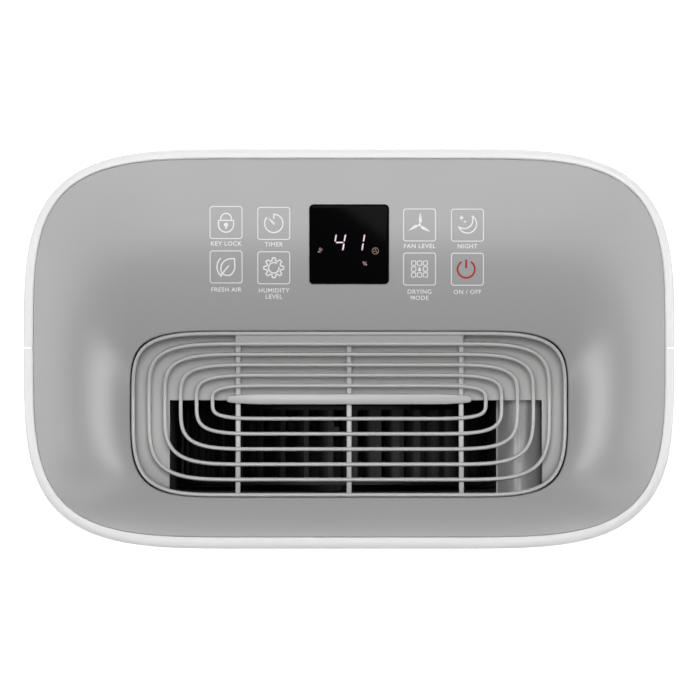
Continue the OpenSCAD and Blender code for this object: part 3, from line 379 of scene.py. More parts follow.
finishes = {
    "shellGloss": finish("shellGloss", (0.84, 0.84, 0.835), rough=0.4, depth=0.05, speckle=0.0, gloss=0.3),
    "coverSatin": finish("coverSatin", (0.355, 0.355, 0.353), rough=0.36, size=1800, depth=0.2, gloss=0.3),
    "grilleSatin": finish("grilleSatin", (0.42, 0.42, 0.417), rough=0.36, size=2200, depth=0.25, gloss=0.4),
    "wellSatin": finish("wellSatin", (0.4, 0.4, 0.397), rough=0.38, size=1900, depth=0.35, gloss=0.15),
    "ductGrey": finish("ductGrey", (0.34, 0.34, 0.337), rough=0.4, size=1600, depth=0.3),
    "lensGloss": finish("lensGloss", (0.002, 0.002, 0.0025), rough=0.1, depth=0.0, spread=0.02,
    gloss=0.008),
    "printWhite": finish("printWhite", (0.80, 0.80, 0.80), rough=0.5, depth=0.05),
    "printRed": finish("printRed", (0.40, 0.012, 0.012), rough=0.6, depth=0.05, gloss=0.2),
    "digitGlow": finish("digitGlow", (0.62, 0.50, 0.56), rough=0.5, glow=0.55, gloss=0.1),
    "iconGlow": finish("iconGlow", (0.42, 0.30, 0.27), rough=0.5, glow=0.35, gloss=0.1),
    "fanBlack": finish("fanBlack", (0.004, 0.004, 0.0045), rough=0.6, depth=0.2, gloss=0.25),
    # dark plastic and painted shade: the scroll, its cover and the outlet throat are kept dark so that the
    # inside of the duct looks shaded
    "scrollPaintedShade": finish("scrollPaintedShade", (0.09, 0.09, 0.092), rough=0.6, depth=0.3, gloss=0.25),
    "blackSteel": finish("blackSteel", (0.02, 0.02, 0.022), rough=0.4, metal=0.6, size=3000, depth=0.12),
    "darkPlastic": finish("darkPlastic", (0.03, 0.03, 0.032), rough=0.5, depth=0.3),
    "deckGrey": finish("deckGrey", (0.10, 0.10, 0.105), rough=0.5, depth=0.3),
    "boardLacquer": finish("boardLacquer", (0.02, 0.13, 0.06), rough=0.3, depth=0.15, drift=0.1),
    "zincPlate": finish("zincPlate", (0.62, 0.63, 0.66), rough=0.32, metal=1.0, size=3200, depth=0.12),
    "finStock": finish("finStock", (0.80, 0.81, 0.83), rough=0.3, metal=1.0, size=800, depth=0.1,
    drift=0.1),
    "copperTube": finish("copperTube", (0.72, 0.36, 0.22), rough=0.3, metal=1.0, size=600, depth=0.1,
    drift=0.16),
    "enamelBlack": finish("enamelBlack", (0.014, 0.014, 0.015), rough=0.3, size=500, depth=0.25, coat=0.4),
    "powderCoat": finish("powderCoat", (0.09, 0.09, 0.095), rough=0.55, size=1400, depth=0.7),
    "softRubber": finish("softRubber", (0.02, 0.02, 0.02), rough=0.75, size=1500, depth=0.4),
    "trayPlastic": finish("trayPlastic", (0.72, 0.72, 0.71), rough=0.45, depth=0.2),
    "tankClear": finish("tankClear", (0.72, 0.80, 0.84), rough=0.12, depth=0.05, alpha=0.45, speckle=0.0),
    "windowSmoke": finish("windowSmoke", (0.03, 0.04, 0.05), rough=0.08, depth=0.0, alpha=0.7, coat=0.5),
    "netBlack": finish("netBlack", (0.015, 0.015, 0.016), rough=0.7, size=600, depth=0.8),
    "floatFoam": finish("floatFoam", (0.78, 0.78, 0.74), rough=0.8, size=700, depth=0.7, speckle=0.1),
    "wheelNylon": finish("wheelNylon", (0.05, 0.05, 0.053), rough=0.38, depth=0.2),
}
print("finishes made:", len(finishes))


cover = {"around": 640, "across": 72, "thick": 2.4, "skirt": 6.5, "fillet": 0.8, "window": 44.8,
    "windowY": 58.8,
    "windowGap": 0.35}
# slope of the cover from the grille (first) to the rim (last), to any scale
slopes = {
    "rear": [0.300, 0.255, 0.210, 0.165, 0.120, 0.060, 0.022, 0.010, 0.005, 0.0, 0.0],
    "side": [0.93, 0.86, 0.70, 0.56, 0.45, 0.345, 0.24, 0.165, 0.12, 0.075, 0.02],
    "front": [1.45, 1.36, 1.27, 1.18, 1.09, 1.0, 0.91, 0.82, 0.73, 0.64, 0.55],
    "corner": [1.1, 1.1, 1.05, 1.0, 1.0, 1.0, 0.95, 0.95, 0.95, 0.95, 0.95],
}


def slopeShare(key, s):
    # share of the depth left at s of the way out: one less the running sum of the slopes over their total
    grid = np.linspace(0, 1, 401)
    slope = np.interp(grid, np.linspace(0, 1, len(slopes[key])), slopes[key])
    slope = np.convolve(np.pad(slope, 20, mode="edge"), np.hanning(41) / np.hanning(41).sum(), mode="valid")
    total = np.concatenate([[0], np.cumsum((slope[1:] + slope[:-1]) / 2)])
    return 1 - np.interp(s, grid, total / total[-1])


def coverShare(s, t):
    # the slopes mixed by direction: sin^2 behind, |sin|^2.5 in front, the rest at the sides, and over
    # these the corner's, by sin^5 2t in front
    behind = np.clip(np.sin(t), 0, 1) ** 2
    ahead = np.clip(-np.sin(t), 0, 1) ** 2.5
    corner = np.where(np.sin(t) < 0, abs(np.sin(2 * t)) ** 5, 0)
    mixed = (behind * slopeShare("rear", s) + ahead * slopeShare("front", s)
        + (1 - behind - ahead) * slopeShare("side", s))
    return mixed * (1 - corner) + slopeShare("corner", s) * corner


def coverPoints(t):
    # the cover as a loop of rows: up its inner wall, over the face, down its outer wall and back below
    r, thick, down = cover["fillet"], cover["thick"], cover["skirt"]
    inner = ringAt(0, grille["barW"] / 2 + grille["gap"], t)
    outer = outlineAt(t, cabinet["rim"] + cabinet["seam"])
    way = outer - inner
    length = np.linalg.norm(way, axis=1)
    bend = np.linspace(0, math.pi / 2, 6)
    face = r + (1 - np.cos(np.linspace(0, math.pi, cover["across"]))) / 2
    rows = []

    def row(out, drop):
        s = out / length
        place = inner + way * s[:, None]
        z = cabinet["top"] - dish["drop"] - valley(inner[:, 1]) * coverShare(s, t) - drop
        rows.append(np.column_stack([place, z]))
    zero = np.zeros_like(length)
    row(zero, down)
    for a in bend[:-1]:
        row(zero + r * (1 - math.cos(a)), r * (1 - math.sin(a)))
    for f in (face - r):
        row(r + (length - 2 * r) * f, 0)
    for a in bend[1:]:
        row(length - r * (1 - math.sin(a)), r * (1 - math.cos(a)))
    row(length, down)
    row(length - 1.6, down)
    row(length - 2.4, thick + 0.8)
    for f in (0.8, 0.6, 0.4, 0.2):
        row(2.4 + (length - 4.8) * f, thick)
    row(zero + 2.4, thick + 0.8)
    row(zero + 1.6, down)
    return np.array(rows)


turns = evenTurns(cover["around"], 0, 2 * math.pi)
coverFull = makeMesh("topCover", gridPart(coverPoints(turns), wrapRows=True, wrapCols=True), angle=50)


def softSquare(side, r, steps=8):
    # outline of a square with round corners, as quarter circles at its corners
    q = np.linspace(0, math.pi / 2, steps)
    h = side / 2 - r
    return np.concatenate([np.stack([cx * h + r * np.cos(q + k * math.pi / 2),
        cy * h + r * np.sin(q + k * math.pi / 2)], -1)
        for k, (cx, cy) in enumerate(((1, 1), (-1, 1), (-1, -1), (1, -1)))])


def prism(outline, z0, z1):
    # an outline carried straight up
    low = np.column_stack([outline, np.full(len(outline), z0)])
    high = np.column_stack([outline, np.full(len(outline), z1)])
    return gridPart(np.stack([low, high]), wrapCols=True, caps=True)


windowHole = prism(softSquare(cover["window"] + 2 * cover["windowGap"], 2.5) + [0, cover["windowY"]],
    cabinet["top"] - 30, cabinet["top"] + 10)
coverMesh = cutAway(coverFull, [windowHole], "topCover", angle=50)
topCover = addPiece("topCover", coverMesh, finishes["coverSatin"], "cabinet", ["top_cover"])
print("top cover:", len(coverMesh.polygons), "faces")

display = {"corner": 2.3, "edge": 0.5, "slant": 0.17, "digitH": 10.0, "digitW": 5.2, "stroke": 0.8,
    "base": -3.9}
lensTilt = math.atan2(4.2, 45.0)


def onWindow(points, lift=0.0):
    # points on the window's own plane, turned about X by its tilt and moved to its middle
    p = np.asarray(points, float)
    z = p[:, 2] + lift if p.shape[1] > 2 else np.full(len(p), lift)
    c, s = math.cos(lensTilt), math.sin(lensTilt)
    return np.column_stack([p[:, 0], cover["windowY"] + p[:, 1] * c - z * s, lensTop + p[:, 1] * s + z * c])


lensTop = cabinet["top"] - 2.7
lensRows = [(0.0, -1.8), (0.0, -display["edge"])]
lensRows += [(display["edge"] * (1 - math.cos(a)), -display["edge"] * (1 - math.sin(a)))
    for a in np.linspace(0, math.pi / 2, 6)[1:]]
lensPart = gridPart(np.array([
    onWindow(np.column_stack([softSquare(cover["window"] - 2 * i, display["corner"] - i * 0.6),
    np.full(32, z)]))
    for i, z in lensRows]), wrapCols=True, caps=True)
addPiece("displayLens", makeMesh("displayLens", lensPart, angle=40), finishes["lensGloss"], "cabinet",
    ["display_window"])


def slab(outline, thick=0.05):
    # a flat outline given a little thickness, for print and lit segments
    o = np.asarray(outline, float)
    return gridPart(np.stack([np.column_stack([o, np.zeros(len(o))]),
        np.column_stack([o, np.full(len(o), thick)])]), wrapCols=True, caps=True)


def dense(points, closed=False, step=0.8):
    # the same line with points no further apart than the step
    p = np.asarray(points, float)
    if closed:
        p = np.concatenate([p, p[:1]])
    gaps = np.linalg.norm(np.diff(p, axis=0), axis=1)
    pieces = [p[i] + (p[i + 1] - p[i]) * np.linspace(0, 1, int(gap / step) + 2)[:-1, None]
        for i, gap in enumerate(gaps)]
    return np.concatenate(pieces if closed else pieces + [p[-1:]])


def ribbon(points, width, closed=False, thick=0.05):
    # a line of points given a width: each point moves half the width to both sides of the line
    p = dense(points, closed)
    if closed:
        along = np.roll(p, -1, 0) - np.roll(p, 1, 0)
    else:
        along = np.gradient(p, axis=0)
    along /= np.linalg.norm(along, axis=1, keepdims=True) + 1e-12
    side = np.stack([-along[:, 1], along[:, 0]], -1) * width / 2
    n = len(p)
    ring = np.array([np.column_stack([p + side, np.zeros(n)]), np.column_stack([p - side, np.zeros(n)]),
        np.column_stack([p - side, np.full(n, thick)]),
        np.column_stack([p + side, np.full(n, thick)])])
    return gridPart(ring.transpose(1, 0, 2), wrapRows=closed, wrapCols=True, caps=not closed)


def arc(r, start, end, count=24, centre=(0, 0)):
    # part of a circle, in degrees
    a = np.radians(np.linspace(start, end, count))
    return np.stack([centre[0] + r * np.cos(a), centre[1] + r * np.sin(a)], -1)


def digit(segments, x, y):
    # seven-segment strokes, slanted: a segment is a thin hexagon between two corners of the digit
    w, h, k = display["digitW"], display["digitH"] / 2, display["stroke"] / 2
    ends = {"a": ((0, 2), (1, 2)), "b": ((1, 2), (1, 1)), "c": ((1, 1), (1, 0)), "d": ((0, 0), (1, 0)),
        "e": ((0, 1), (0, 0)), "f": ((0, 2), (0, 1)), "g": ((0, 1), (1, 1))}
    parts = []
    for name in segments:
        a, b = (np.array(e, float) * (w, h) for e in ends[name])
        d = (b - a) / np.linalg.norm(b - a)
        n = np.array([-d[1], d[0]])
        a, b = a + d * 0.45, b - d * 0.45
        o = np.array([a, a + d * k + n * k, b - d * k + n * k, b, b - d * k - n * k, a + d * k - n * k])
        o[:, 0] += o[:, 1] * display["slant"]
        parts.append(slab(o + [x, y]))
    return parts


def lit(name, parts, material):
    # parts drawn on the window's plane, laid just above the lens
    verts, faces = joined(parts)
    addPiece(name, makeMesh(name, (onWindow(verts, 0.03), faces), outward=True), finishes[material],
        "cabinet")


lit("digits", digit("fgbc", -8.9, display["base"]) + digit("bc", 2.0, display["base"]), "digitGlow")


def turned(points, angle):
    # points turned about the origin
    c, s = math.cos(angle), math.sin(angle)
    return np.asarray(points, float) @ np.array([[c, s], [-s, c]])


fanAt, mistAt, percentAt = np.array([14.9, -3.7]), np.array([-16.9, -3.4]), np.array([8.9, -10.9])
blade = np.array([[0, 0.2], [0.35, 0.75], [0.2, 1.35], [-0.12, 0.75]])
litIcons = [ribbon(arc(1.8, 0, 350, 36) + fanAt, 0.2, closed=True)]
litIcons += [slab(turned(blade, k * 2 * math.pi / 3) + fanAt) for k in range(3)]
litIcons += [ribbon(arc(0.55, 20, 320, 12, centre) + mistAt, 0.22) for centre in ((0.5, 0.9), (1.2, 0.2),
    (0.2, -0.6))]
litIcons += [ribbon(np.array([[-0.9, -1.2], [-0.2, -0.3]]) + mistAt, 0.3)]
litIcons += [ribbon(np.array([[-0.7, -0.9], [0.7, 0.9]]) + percentAt, 0.3)]
litIcons += [ribbon(arc(0.38, 0, 350, 12, centre) + percentAt, 0.26,
    closed=True) for centre in ((-0.75, 0.6), (0.8, -0.6))]
lit("litIcons", litIcons, "iconGlow")
print("display done")

keys = {"side": 18.15, "corner": 1.4, "line": 0.5, "icon": 0.74, "text": 3.5, "bold": 0.045, "sink": 3.0,
    "lift": 0.06}


def keyFrame(x, y):
    return ribbon(softSquare(keys["side"], keys["corner"]) + [x, y], keys["line"], closed=True)


def moved(part, x, y, scale=1.0):
    v = np.array(part[0]) * [scale, scale, 1] + [x, y, 0]
    return v, part[1]


def crescent(r, r2, gap, lean):
    # outline of a disc of radius r less one of radius r2 whose centre is gap away, towards lean degrees:
    # the two circles cross where the law of cosines puts their common chord
    a = math.acos((r * r + gap * gap - r2 * r2) / (2 * r * gap))
    b = math.acos((r2 * r2 + gap * gap - r * r) / (2 * r2 * gap))
    outer = arc(r, math.degrees(a), 360 - math.degrees(a), 40)
    inner = arc(r2, 180 + math.degrees(b), 180 - math.degrees(b), 28, (gap, 0))
    return turned(np.concatenate([outer, inner[1:-1]]), math.radians(lean)) + [0.0, 0.7]


w = keys["icon"]
icons = {
    "lock": [ribbon(np.concatenate([[[-4.3, 1.2]], arc(4.3, 180, 360, 24, (0, -1.2)), [[4.3, 1.2]]]), w,
    closed=True),
    ribbon(np.concatenate([[[-3, 1.4]], arc(3.0, 180, 0, 20, (0, 2.2)), [[3, 1.4]]]), w),
    slab(arc(1.25, 0, 345, 18, (0, -1.3))),
    slab([[-0.5, -3.6], [0.5, -3.6], [0.5, -1.6], [-0.5, -1.6]])],
    "timer": [ribbon(arc(5.2, 138, 449, 40), w), ribbon([[0, 5.5], [0, 2.5]], w),
    slab([[-3.4, 3.4], [-0.8, -0.25], [0.1, -0.8], [0.7, -0.1], [0.2, 0.75]]),
    slab(arc(0.85, 0, 345, 16))],
    "leaf": [ribbon(np.concatenate([arc(5.6, 205, 95, 14, (2.6, -1.0)), [[4.8, 4.8]],
    arc(6.2, 10, -60, 14, (-1.2, 0.4)),
    arc(4.2, -70, -130, 8, (0.6, -0.6))]), w, closed=True),
    ribbon([[-3.4, -5.2], [1.6, 0.8]], w), ribbon(arc(6.6, 235, 130, 16, (1.4, 0)), w)],
    "gear": [ribbon(np.stack([(4.9 + 0.75 * np.tanh(4 * np.cos(8 * a))) * np.cos(a),
    (4.9 + 0.75 * np.tanh(4 * np.cos(8 * a))) * np.sin(a)], -1), w, closed=True)
    for a in [np.linspace(0, 2 * math.pi, 161)[:-1]]] + [ribbon(arc(3.0, 55, 370, 30), w)],
    "fan": [slab(turned([[-0.1, 0.7], [1.2, 1.6], [1.3, 3.2], [0.35, 7.3], [-0.45, 3.2]],
    k * 2 * math.pi / 3))
    for k in range(3)] + [slab(arc(0.8, 0, 345, 16))],
    "moon": [ribbon(crescent(5.2, 4.9, 2.9, 129), w, closed=True),
    slab([[-3.4, 5.8], [-2.9, 4.6], [-1.8, 4.2], [-2.9, 3.8], [-3.4, 2.6], [-3.9, 3.8],
    [-5.0, 4.2],
    [-3.9, 4.6]]), slab([[-1.4, 2.9], [-1.1, 2.2], [-0.4, 2.0], [-1.1, 1.7], [-1.4, 1.0],
    [-1.7, 1.7], [-2.4, 2.0], [-1.7, 2.2]])],
    "grid": [ribbon(softSquare(2.5, 0.6) + [i * 3.35, j * 3.35], 0.5, closed=True)
    for i in (-1, 0, 1) for j in (-1, 0, 1) if (i, j) != (0, 0)]
    + [slab(np.concatenate([arc(0.95, 200, 340, 12, (0, -0.35)), [[0, 1.6]]]))],
    "power": [ribbon(arc(4.9, 122, 418, 44, (-0.7, 0)), 1.0), ribbon([[-0.7, 5.4], [-0.7, 0.6]], 1.1)],
}
keyPlan = [("lock", -69.9, 71.2, ["KEY LOCK"]), ("timer", -42.8, 70.7, ["TIMER"]),
    ("leaf", -69.9, 46.0, ["FRESH AIR"]),
    ("gear", -42.8, 45.5, ["HUMIDITY", "LEVEL"]), ("fan", 40.0, 69.8, ["FAN LEVEL"]),
    ("moon", 67.2, 69.7, ["NIGHT"]),
    ("grid", 40.0, 44.8, ["DRYING", "MODE"]), ("power", 67.2, 44.7, ["ON / OFF"])]


def layOnCover(name, parts, material, extra=()):
    # flat print dropped straight down on the cover's face, a hair above it
    verts, faces = joined(list(parts) + list(extra))
    verts = np.array(verts)
    thick = verts[:, 2].copy()
    verts[:, 2] = coverZ(verts[:, :2]) + keys["lift"] + thick
    addPiece(name, makeMesh(name, (verts, faces), merge=0.0005), finishes[material], "cabinet")


coverTable = coverPoints(turns)[6:6 + cover["across"]]


def coverZ(xy):
    # height of the cover's face at many places at once: nearest row and column of the face's own table,
    # then a plane through its neighbours
    table = coverTable.reshape(-1, 3)
    near = np.zeros(len(xy), int)
    for start in range(0, len(xy), 512):
        gap = ((xy[start:start + 512, None, :] - table[None, :, :2]) ** 2).sum(-1)
        near[start:start + 512] = gap.argmin(1)
    rows, cols = coverTable.shape[:2]
    r, c = near // cols, near % cols
    r2, c2 = np.where(r + 1 < rows, r + 1, r - 1), (c + 1) % cols
    p, a, b = coverTable[r, c], coverTable[r2, c], coverTable[r, c2]
    n = np.cross(a - p, b - p)
    return p[:, 2] - ((xy[:, 0] - p[:, 0]) * n[:, 0] + (xy[:, 1] - p[:, 1]) * n[:, 1]) / n[:, 2]


def textPart(words, x, y, size):
    # capitals as a flat mesh with a little thickness, centred on x and y
    curve = bpy.data.curves.new("label", "FONT")
    curve.body, curve.size, curve.align_x, curve.align_y = words, size, "CENTER", "CENTER"
    curve.space_character, curve.resolution_u, curve.offset = 1.1, 3, keys["bold"]
    holder = bpy.data.objects.new("label", curve)
    bpy.context.scene.collection.objects.link(holder)
    bpy.context.view_layer.update()
    flat = bpy.data.meshes.new_from_object(holder.evaluated_get(bpy.context.evaluated_depsgraph_get()))
    bpy.data.objects.remove(holder)
    verts = np.zeros(len(flat.vertices) * 3)
    flat.vertices.foreach_get("co", verts)
    verts = verts.reshape(-1, 3) + [x, y, 0]
    faces = [list(p.vertices) for p in flat.polygons]
    n = len(verts)
    edges = {}
    for face in faces:
        for a, b in zip(face, face[1:] + face[:1]):
            edges[(a, b)] = True
    rim = [[a, b, b + n, a + n] for a, b in edges if (b, a) not in edges]
    top = verts + [0, 0, 0.05]
    return np.concatenate([verts,
        top]), [f[::-1] for f in faces] + [[i + n for i in f] for f in faces] + rim


whitePrint, redPrint = [], []
for kind, x, y, words in keyPlan:
    whitePrint.append(keyFrame(x, y))
    (redPrint if kind == "power" else whitePrint).extend(moved(p, x, y) for p in icons[kind])
    drop = keys["side"] / 2 + keys["sink"] + (0.9 if y < 60 else 0)
    for line, text in enumerate(words):
        whitePrint.append(textPart(text, x, y - drop - line * 3.5, keys["text"]))
layOnCover("keyPrint", whitePrint, "printWhite")
layOnCover("powerPrint", redPrint, "printRed")
print("key print done")

rib = {"x": (-63.4, 0.0, 64.0), "w": 3.0, "h": 3.4, "overlap": 0.9}
centreBar = {"half": 70.0, "w": 6.2, "h": 3.6, "nose": 2.1, "ease": 20.0, "shift": 1.55}
clipStrip = {"x0": -64.8, "x1": 64.8, "y0": 1.1, "y1": 6.8, "h": 3.0}


def surfaceZ(y, below=0.0):
    # height of the grille's upper face
    return cabinet["top"] - dish["drop"] - grille["recess"] - valley(y) - below


def ringPart(k):
    # a bar section carried round ring k, leaning half as much as the valley slopes
    t = np.linspace(0, 2 * math.pi, 4001)
    path = ringAt(k, 0, t)
    length = np.concatenate([[0], np.cumsum(np.linalg.norm(np.diff(path, axis=0), axis=1))])
    t = np.interp(np.linspace(0, length[-1], 361)[:-1], length, t)
    xy = ringAt(k, 0, t)
    path = np.column_stack([xy, surfaceZ(xy[:, 1])])
    up = np.column_stack([np.zeros(len(t)), -0.5 * valleySlope(xy[:, 1]), np.ones(len(t))])
    up /= np.linalg.norm(up, axis=1, keepdims=True)
    side = loopFrame(path, up)
    section = barSection(grille["barW"], grille["barH"], 0.8, taper=0.88)
    points = path[:, None, :] + section[None, :, :1] * side[:, None, :] + section[None, :, 1:] * up[:, None,
        :]
    return gridPart(points, wrapRows=True, wrapCols=True)


def ribPart(x):
    # a bar section carried from the back ring to the front ring, under the rings
    y = np.linspace(grille["barY"] + grille["rear"], grille["barY"] - grille["front"], 60)
    slope = valleySlope(y)
    up = np.column_stack([np.zeros(60), -slope, np.ones(60)])
    up /= np.linalg.norm(up, axis=1, keepdims=True)
    top = np.column_stack([np.full(60, x), y, surfaceZ(y)]) - up * (grille["barH"] - rib["overlap"])
    section = barSection(rib["w"], rib["h"], 0.7, taper=0.8)
    side = np.tile([1.0, 0, 0], (60, 1))
    points = top[:, None, :] + section[None, :, :1] * side[:, None, :] + section[None, :, 1:] * up[:, None,
        :]
    return gridPart(points, wrapCols=True, caps=True)


def boatPart():
    # the centre bar: a blunt round nose, then sides that ease out to the full width, and a flat top
    u = np.concatenate([centreBar["nose"] * (1 - np.cos(np.linspace(0, math.pi / 2, 9))),
        centreBar["nose"] + np.linspace(0, centreBar["ease"], 13)[1:]])
    tip = np.sqrt(np.maximum(centreBar["nose"] ** 2 - np.maximum(centreBar["nose"] - u, 0) ** 2, 0))
    grow = np.clip((u - centreBar["nose"]) / centreBar["ease"], 0, 1)
    halfW = tip + (centreBar["w"] / 2 - centreBar["nose"]) * (2 * grow - grow ** 2)
    x, y = centreBar["half"] - u, halfW
    right = np.stack([np.concatenate([x[::-1], x[1:]]), np.concatenate([y[::-1], -y[1:]])], -1)
    base = np.concatenate([right[::-1], right * [-1, 1]])
    inward = base / np.linalg.norm(base / [centreBar["half"], centreBar["w"] / 2], axis=1, keepdims=True)
    inward = inward / [centreBar["half"], centreBar["w"] / 2]
    rows = []
    for shrink, z in ((0.0, -centreBar["h"]), (0.0, -0.9), (0.12, -0.45), (0.4, -0.12), (0.8, 0.0)):
        rows.append(np.column_stack([base - inward * shrink + [0, grille["barY"] + centreBar["shift"]],
            np.full(len(base), surfaceZ(grille["barY"]) + 0.5 + z)]))
    return gridPart(np.array(rows), wrapCols=True, caps=True)


def stripPart():
    # the clip strip behind: a thin flat bar that follows the valley's slope
    y = np.linspace(clipStrip["y1"], clipStrip["y0"], 5)
    up = np.column_stack([np.zeros(5), -valleySlope(y), np.ones(5)])
    up /= np.linalg.norm(up, axis=1, keepdims=True)
    mid = np.column_stack([np.zeros(5), y, surfaceZ(y)]) - up * 0.9
    half = (clipStrip["x1"] - clipStrip["x0"]) / 2
    section = barSection(2 * half, clipStrip["h"], 0.4, taper=1.0, steps=3)
    points = mid[:, None, :] + section[None, :, :1] * np.array([1.0, 0, 0]) + section[None, :, 1:] * up[:,
        None, :]
    return gridPart(points, wrapCols=True, caps=True)


grillePart = joined([ringPart(k) for k in range(grille["rings"])] + [ribPart(x) for x in rib["x"]]
    + [boatPart(), stripPart()])
addPiece("outletGrille", makeMesh("outletGrille", grillePart, angle=45), finishes["grilleSatin"], "cabinet",
    ["outlet_grille"])

well = {"depth": 12.0, "thick": 1.1, "x0": -102.6, "x1": 110.3, "y0": -84.0, "y1": -29.9, "rise": 6.8,
    "round": 4.6}


def wellPoints():
    # a tray below the grille: a floor at an even depth below the valley, a quarter-round foot and a wall;
    # the underside is each point moved out by the thickness, along the profile's own normal
    t = np.linspace(0, 2 * math.pi, 4001)
    path = ringAt(0, 0, t)
    length = np.concatenate([[0], np.cumsum(np.linalg.norm(np.diff(path, axis=0), axis=1))])
    t = np.interp(np.linspace(0, length[-1], 401)[:-1], length, t)
    r, rise, thick = well["round"], well["rise"], well["thick"]
    wall = -grille["barW"] / 2 + 0.35
    bend = np.linspace(0, math.pi / 2, 8)
    rows = [(f, -r, 0.0, 0.0) for f in np.linspace(0.02, 1, 24)]
    rows += [(1, r * (math.sin(x) - 1), r * (1 - math.cos(x)), x) for x in bend[1:]]
    rows += [(1, 0, z, math.pi / 2) for z in np.linspace(r, rise, 3)[1:]]
    middle = np.array([0.0, grille["barY"]])

    def row(f, out, lift, turn, thick):
        edge = middle + (ringAt(0, wall + out + thick * math.sin(turn), t) - middle) * f
        base = middle + (ringAt(0, wall + out, t) - middle) * f
        z = cabinet["top"] - dish["drop"] - valley(base[:,
            1]) - well["depth"] + lift - thick * math.cos(turn)
        return np.column_stack([edge, z])
    upper = [row(*place, 0) for place in rows]
    lower = [row(*place, thick) for place in rows[::-1]]
    return np.array(upper + lower)


wellFull = makeMesh("outletWell", gridPart(wellPoints(), wrapRows=True, wrapCols=True), angle=40)
throatCut = roundBox([well["x0"], well["y0"], 540], [well["x1"], well["y1"], 600], 0.3)
wellMesh = cutAway(wellFull, [throatCut], "outletWell", angle=40)
addPiece("outletWell", wellMesh, finishes["wellSatin"], "cabinet")


def tubeBox(x0, x1, y0, y1, z0, z1, wall):
    # a rectangular duct, open at both ends
    corner = np.array([[x0, y0], [x1, y0], [x1, y1], [x0, y1]])
    out = corner + np.array([[-wall, -wall], [wall, -wall], [wall, wall], [-wall, wall]])
    rows = [np.column_stack([corner, np.full(4, z0)]), np.column_stack([corner, np.full(4, z1)]),
        np.column_stack([out, np.full(4, z1)]), np.column_stack([out, np.full(4, z0)])]
    return gridPart(np.array(rows), wrapRows=True, wrapCols=True)


def lipPart():
    # the rounded hump along the throat's right side: its height is the sine of the way across
    u = np.linspace(0, 1, 25)
    x = well["x1"] - lip["w"] + lip["w"] * u
    z = lip["z0"] + lip["start"] + (lip["h"] - lip["start"]) * np.sin(math.pi * u)
    top = np.stack([x, z], -1)
    nose = arc(0.8, 90, 180, 6, (x[0], z[0] - 0.8))
    outline = np.concatenate([[[x[-1], lip["z0"]], [x[0] - 0.8, lip["z0"]]], nose[::-1], top[1:]])
    ends = [np.column_stack([outline[:, 0], np.full(len(outline), y), outline[:, 1]]) for y in (well["y0"],
        well["y1"])]
    return gridPart(np.array(ends), wrapCols=True, caps=True)


lip = {"w": 25.0, "z0": 536.8, "start": 1.2, "h": 15.0}
addPiece("outletLip", makeMesh("outletLip", lipPart()), finishes["ductGrey"], "cabinet")
# the throat's walls take the duct's dark finish, which is painted shade for the inside of the duct
throat = tubeBox(well["x0"], well["x1"], well["y0"], well["y1"], 536.6, 555.5, 1.8)
addPiece("outletThroat", makeMesh("outletThroat", throat), finishes["scrollPaintedShade"], "cabinet",
    ["outlet_well"])
print("outlet done")

shell = {"topRound": 2.6, "innerRound": 0.7, "around": 300, "bow": 1.5, "bowRear": 0.35, "bowLow": 250.0,
    "bowHigh": 420.0,
    "bowEase": 12.0, "cornerBow": 0.45,
    "ledge": 2.0, "ledgeW": 0.34}


def shellProfile():
    # closed loop of (inset, height): up the outer face, over the round rim, down inside, back to the skirt
    top, rim, r, q = cabinet["top"], cabinet["rim"], shell["topRound"], shell["innerRound"]
    a = np.linspace(0, math.pi / 2, 9)
    loop = [(0, cabinet["skirt"] + 8)]
    loop += [(0, z) for z in np.linspace(shell["bowLow"], shell["bowHigh"], 9)] + [(0, top - 60.0)]
    loop += [(0, top - r - z) for z in (12.0, 9.0, 6.0, 3.0, 0.0)]
    loop += [(r * (1 - math.cos(x)), top - r * (1 - math.sin(x))) for x in a[1:]]
    loop += [(rim - q * math.cos(x), top - q * (1 - math.sin(x))) for x in a[::-1][1::2]]
    ledge, ledgeW = shell["ledge"], shell["ledgeW"]
    loop += [(rim, top - ledge), (rim + ledgeW, top - ledge), (rim + ledgeW, top - 15), (rim, top - 16),
        (2.5, top - 17), (2.5, 45.0), (8.0, 44.0), (8.0, cabinet["skirt"] + 0.6),
        (7.4, cabinet["skirt"])]
    low = cabinet["skirt"]
    loop += [(6.0 * (1 - math.sin(x)), low + 8 * (1 - math.cos(x))) for x in a[1:-1]]
    return np.array(loop)


def shellPart(back):
    # the profile carried round half of the outline, closed at the seam; the front is bowed a little, by
    # bow x smooth step of the height x (2u^2 - u^4)(1 + cornerBow sin^2 2t), u = y/depth, the back by less
    t = evenTurns(shell["around"], 0, math.pi, closed=False)
    rows = []
    out = outlineAt(t)[:, 1] / cabinet["halfD"]
    across = out ** 6 if back else (2 * out ** 2 - out ** 4) * (1 + shell["cornerBow"] * np.sin(2 * t) ** 2)
    for inset, z in shellProfile():
        low = np.clip((z - shell["bowLow"]) / (shell["bowHigh"] - shell["bowLow"]), 0, 1)
        high = np.clip((cabinet["top"] - shell["topRound"] - z) / shell["bowEase"], 0, 1)
        full = shell["bowRear"] if back else shell["bow"]
        bow = 0 if inset > 0 else full * (3 * low ** 2 - 2 * low ** 3) * (2 * high - high ** 2)
        xy = outlineAt(t, inset - bow * across)
        xy[:, 1] = np.maximum(xy[:, 1], cabinet["seam"] / 2)
        if not back:
            xy = xy * [1, -1]
        rows.append(np.column_stack([xy, np.full(len(t), z)]))
    points = np.array(rows).transpose(1, 0, 2)
    return gridPart(points, wrapCols=True, caps=True)


def postPart(x, z, y0, y1, r0, r1):
    # a screw tunnel or post along Y
    return lathe([(r0, y0), (r1, y0), (r1, y1), (r0, y1)], (x, 0, z), "Y", 40, closed=True)


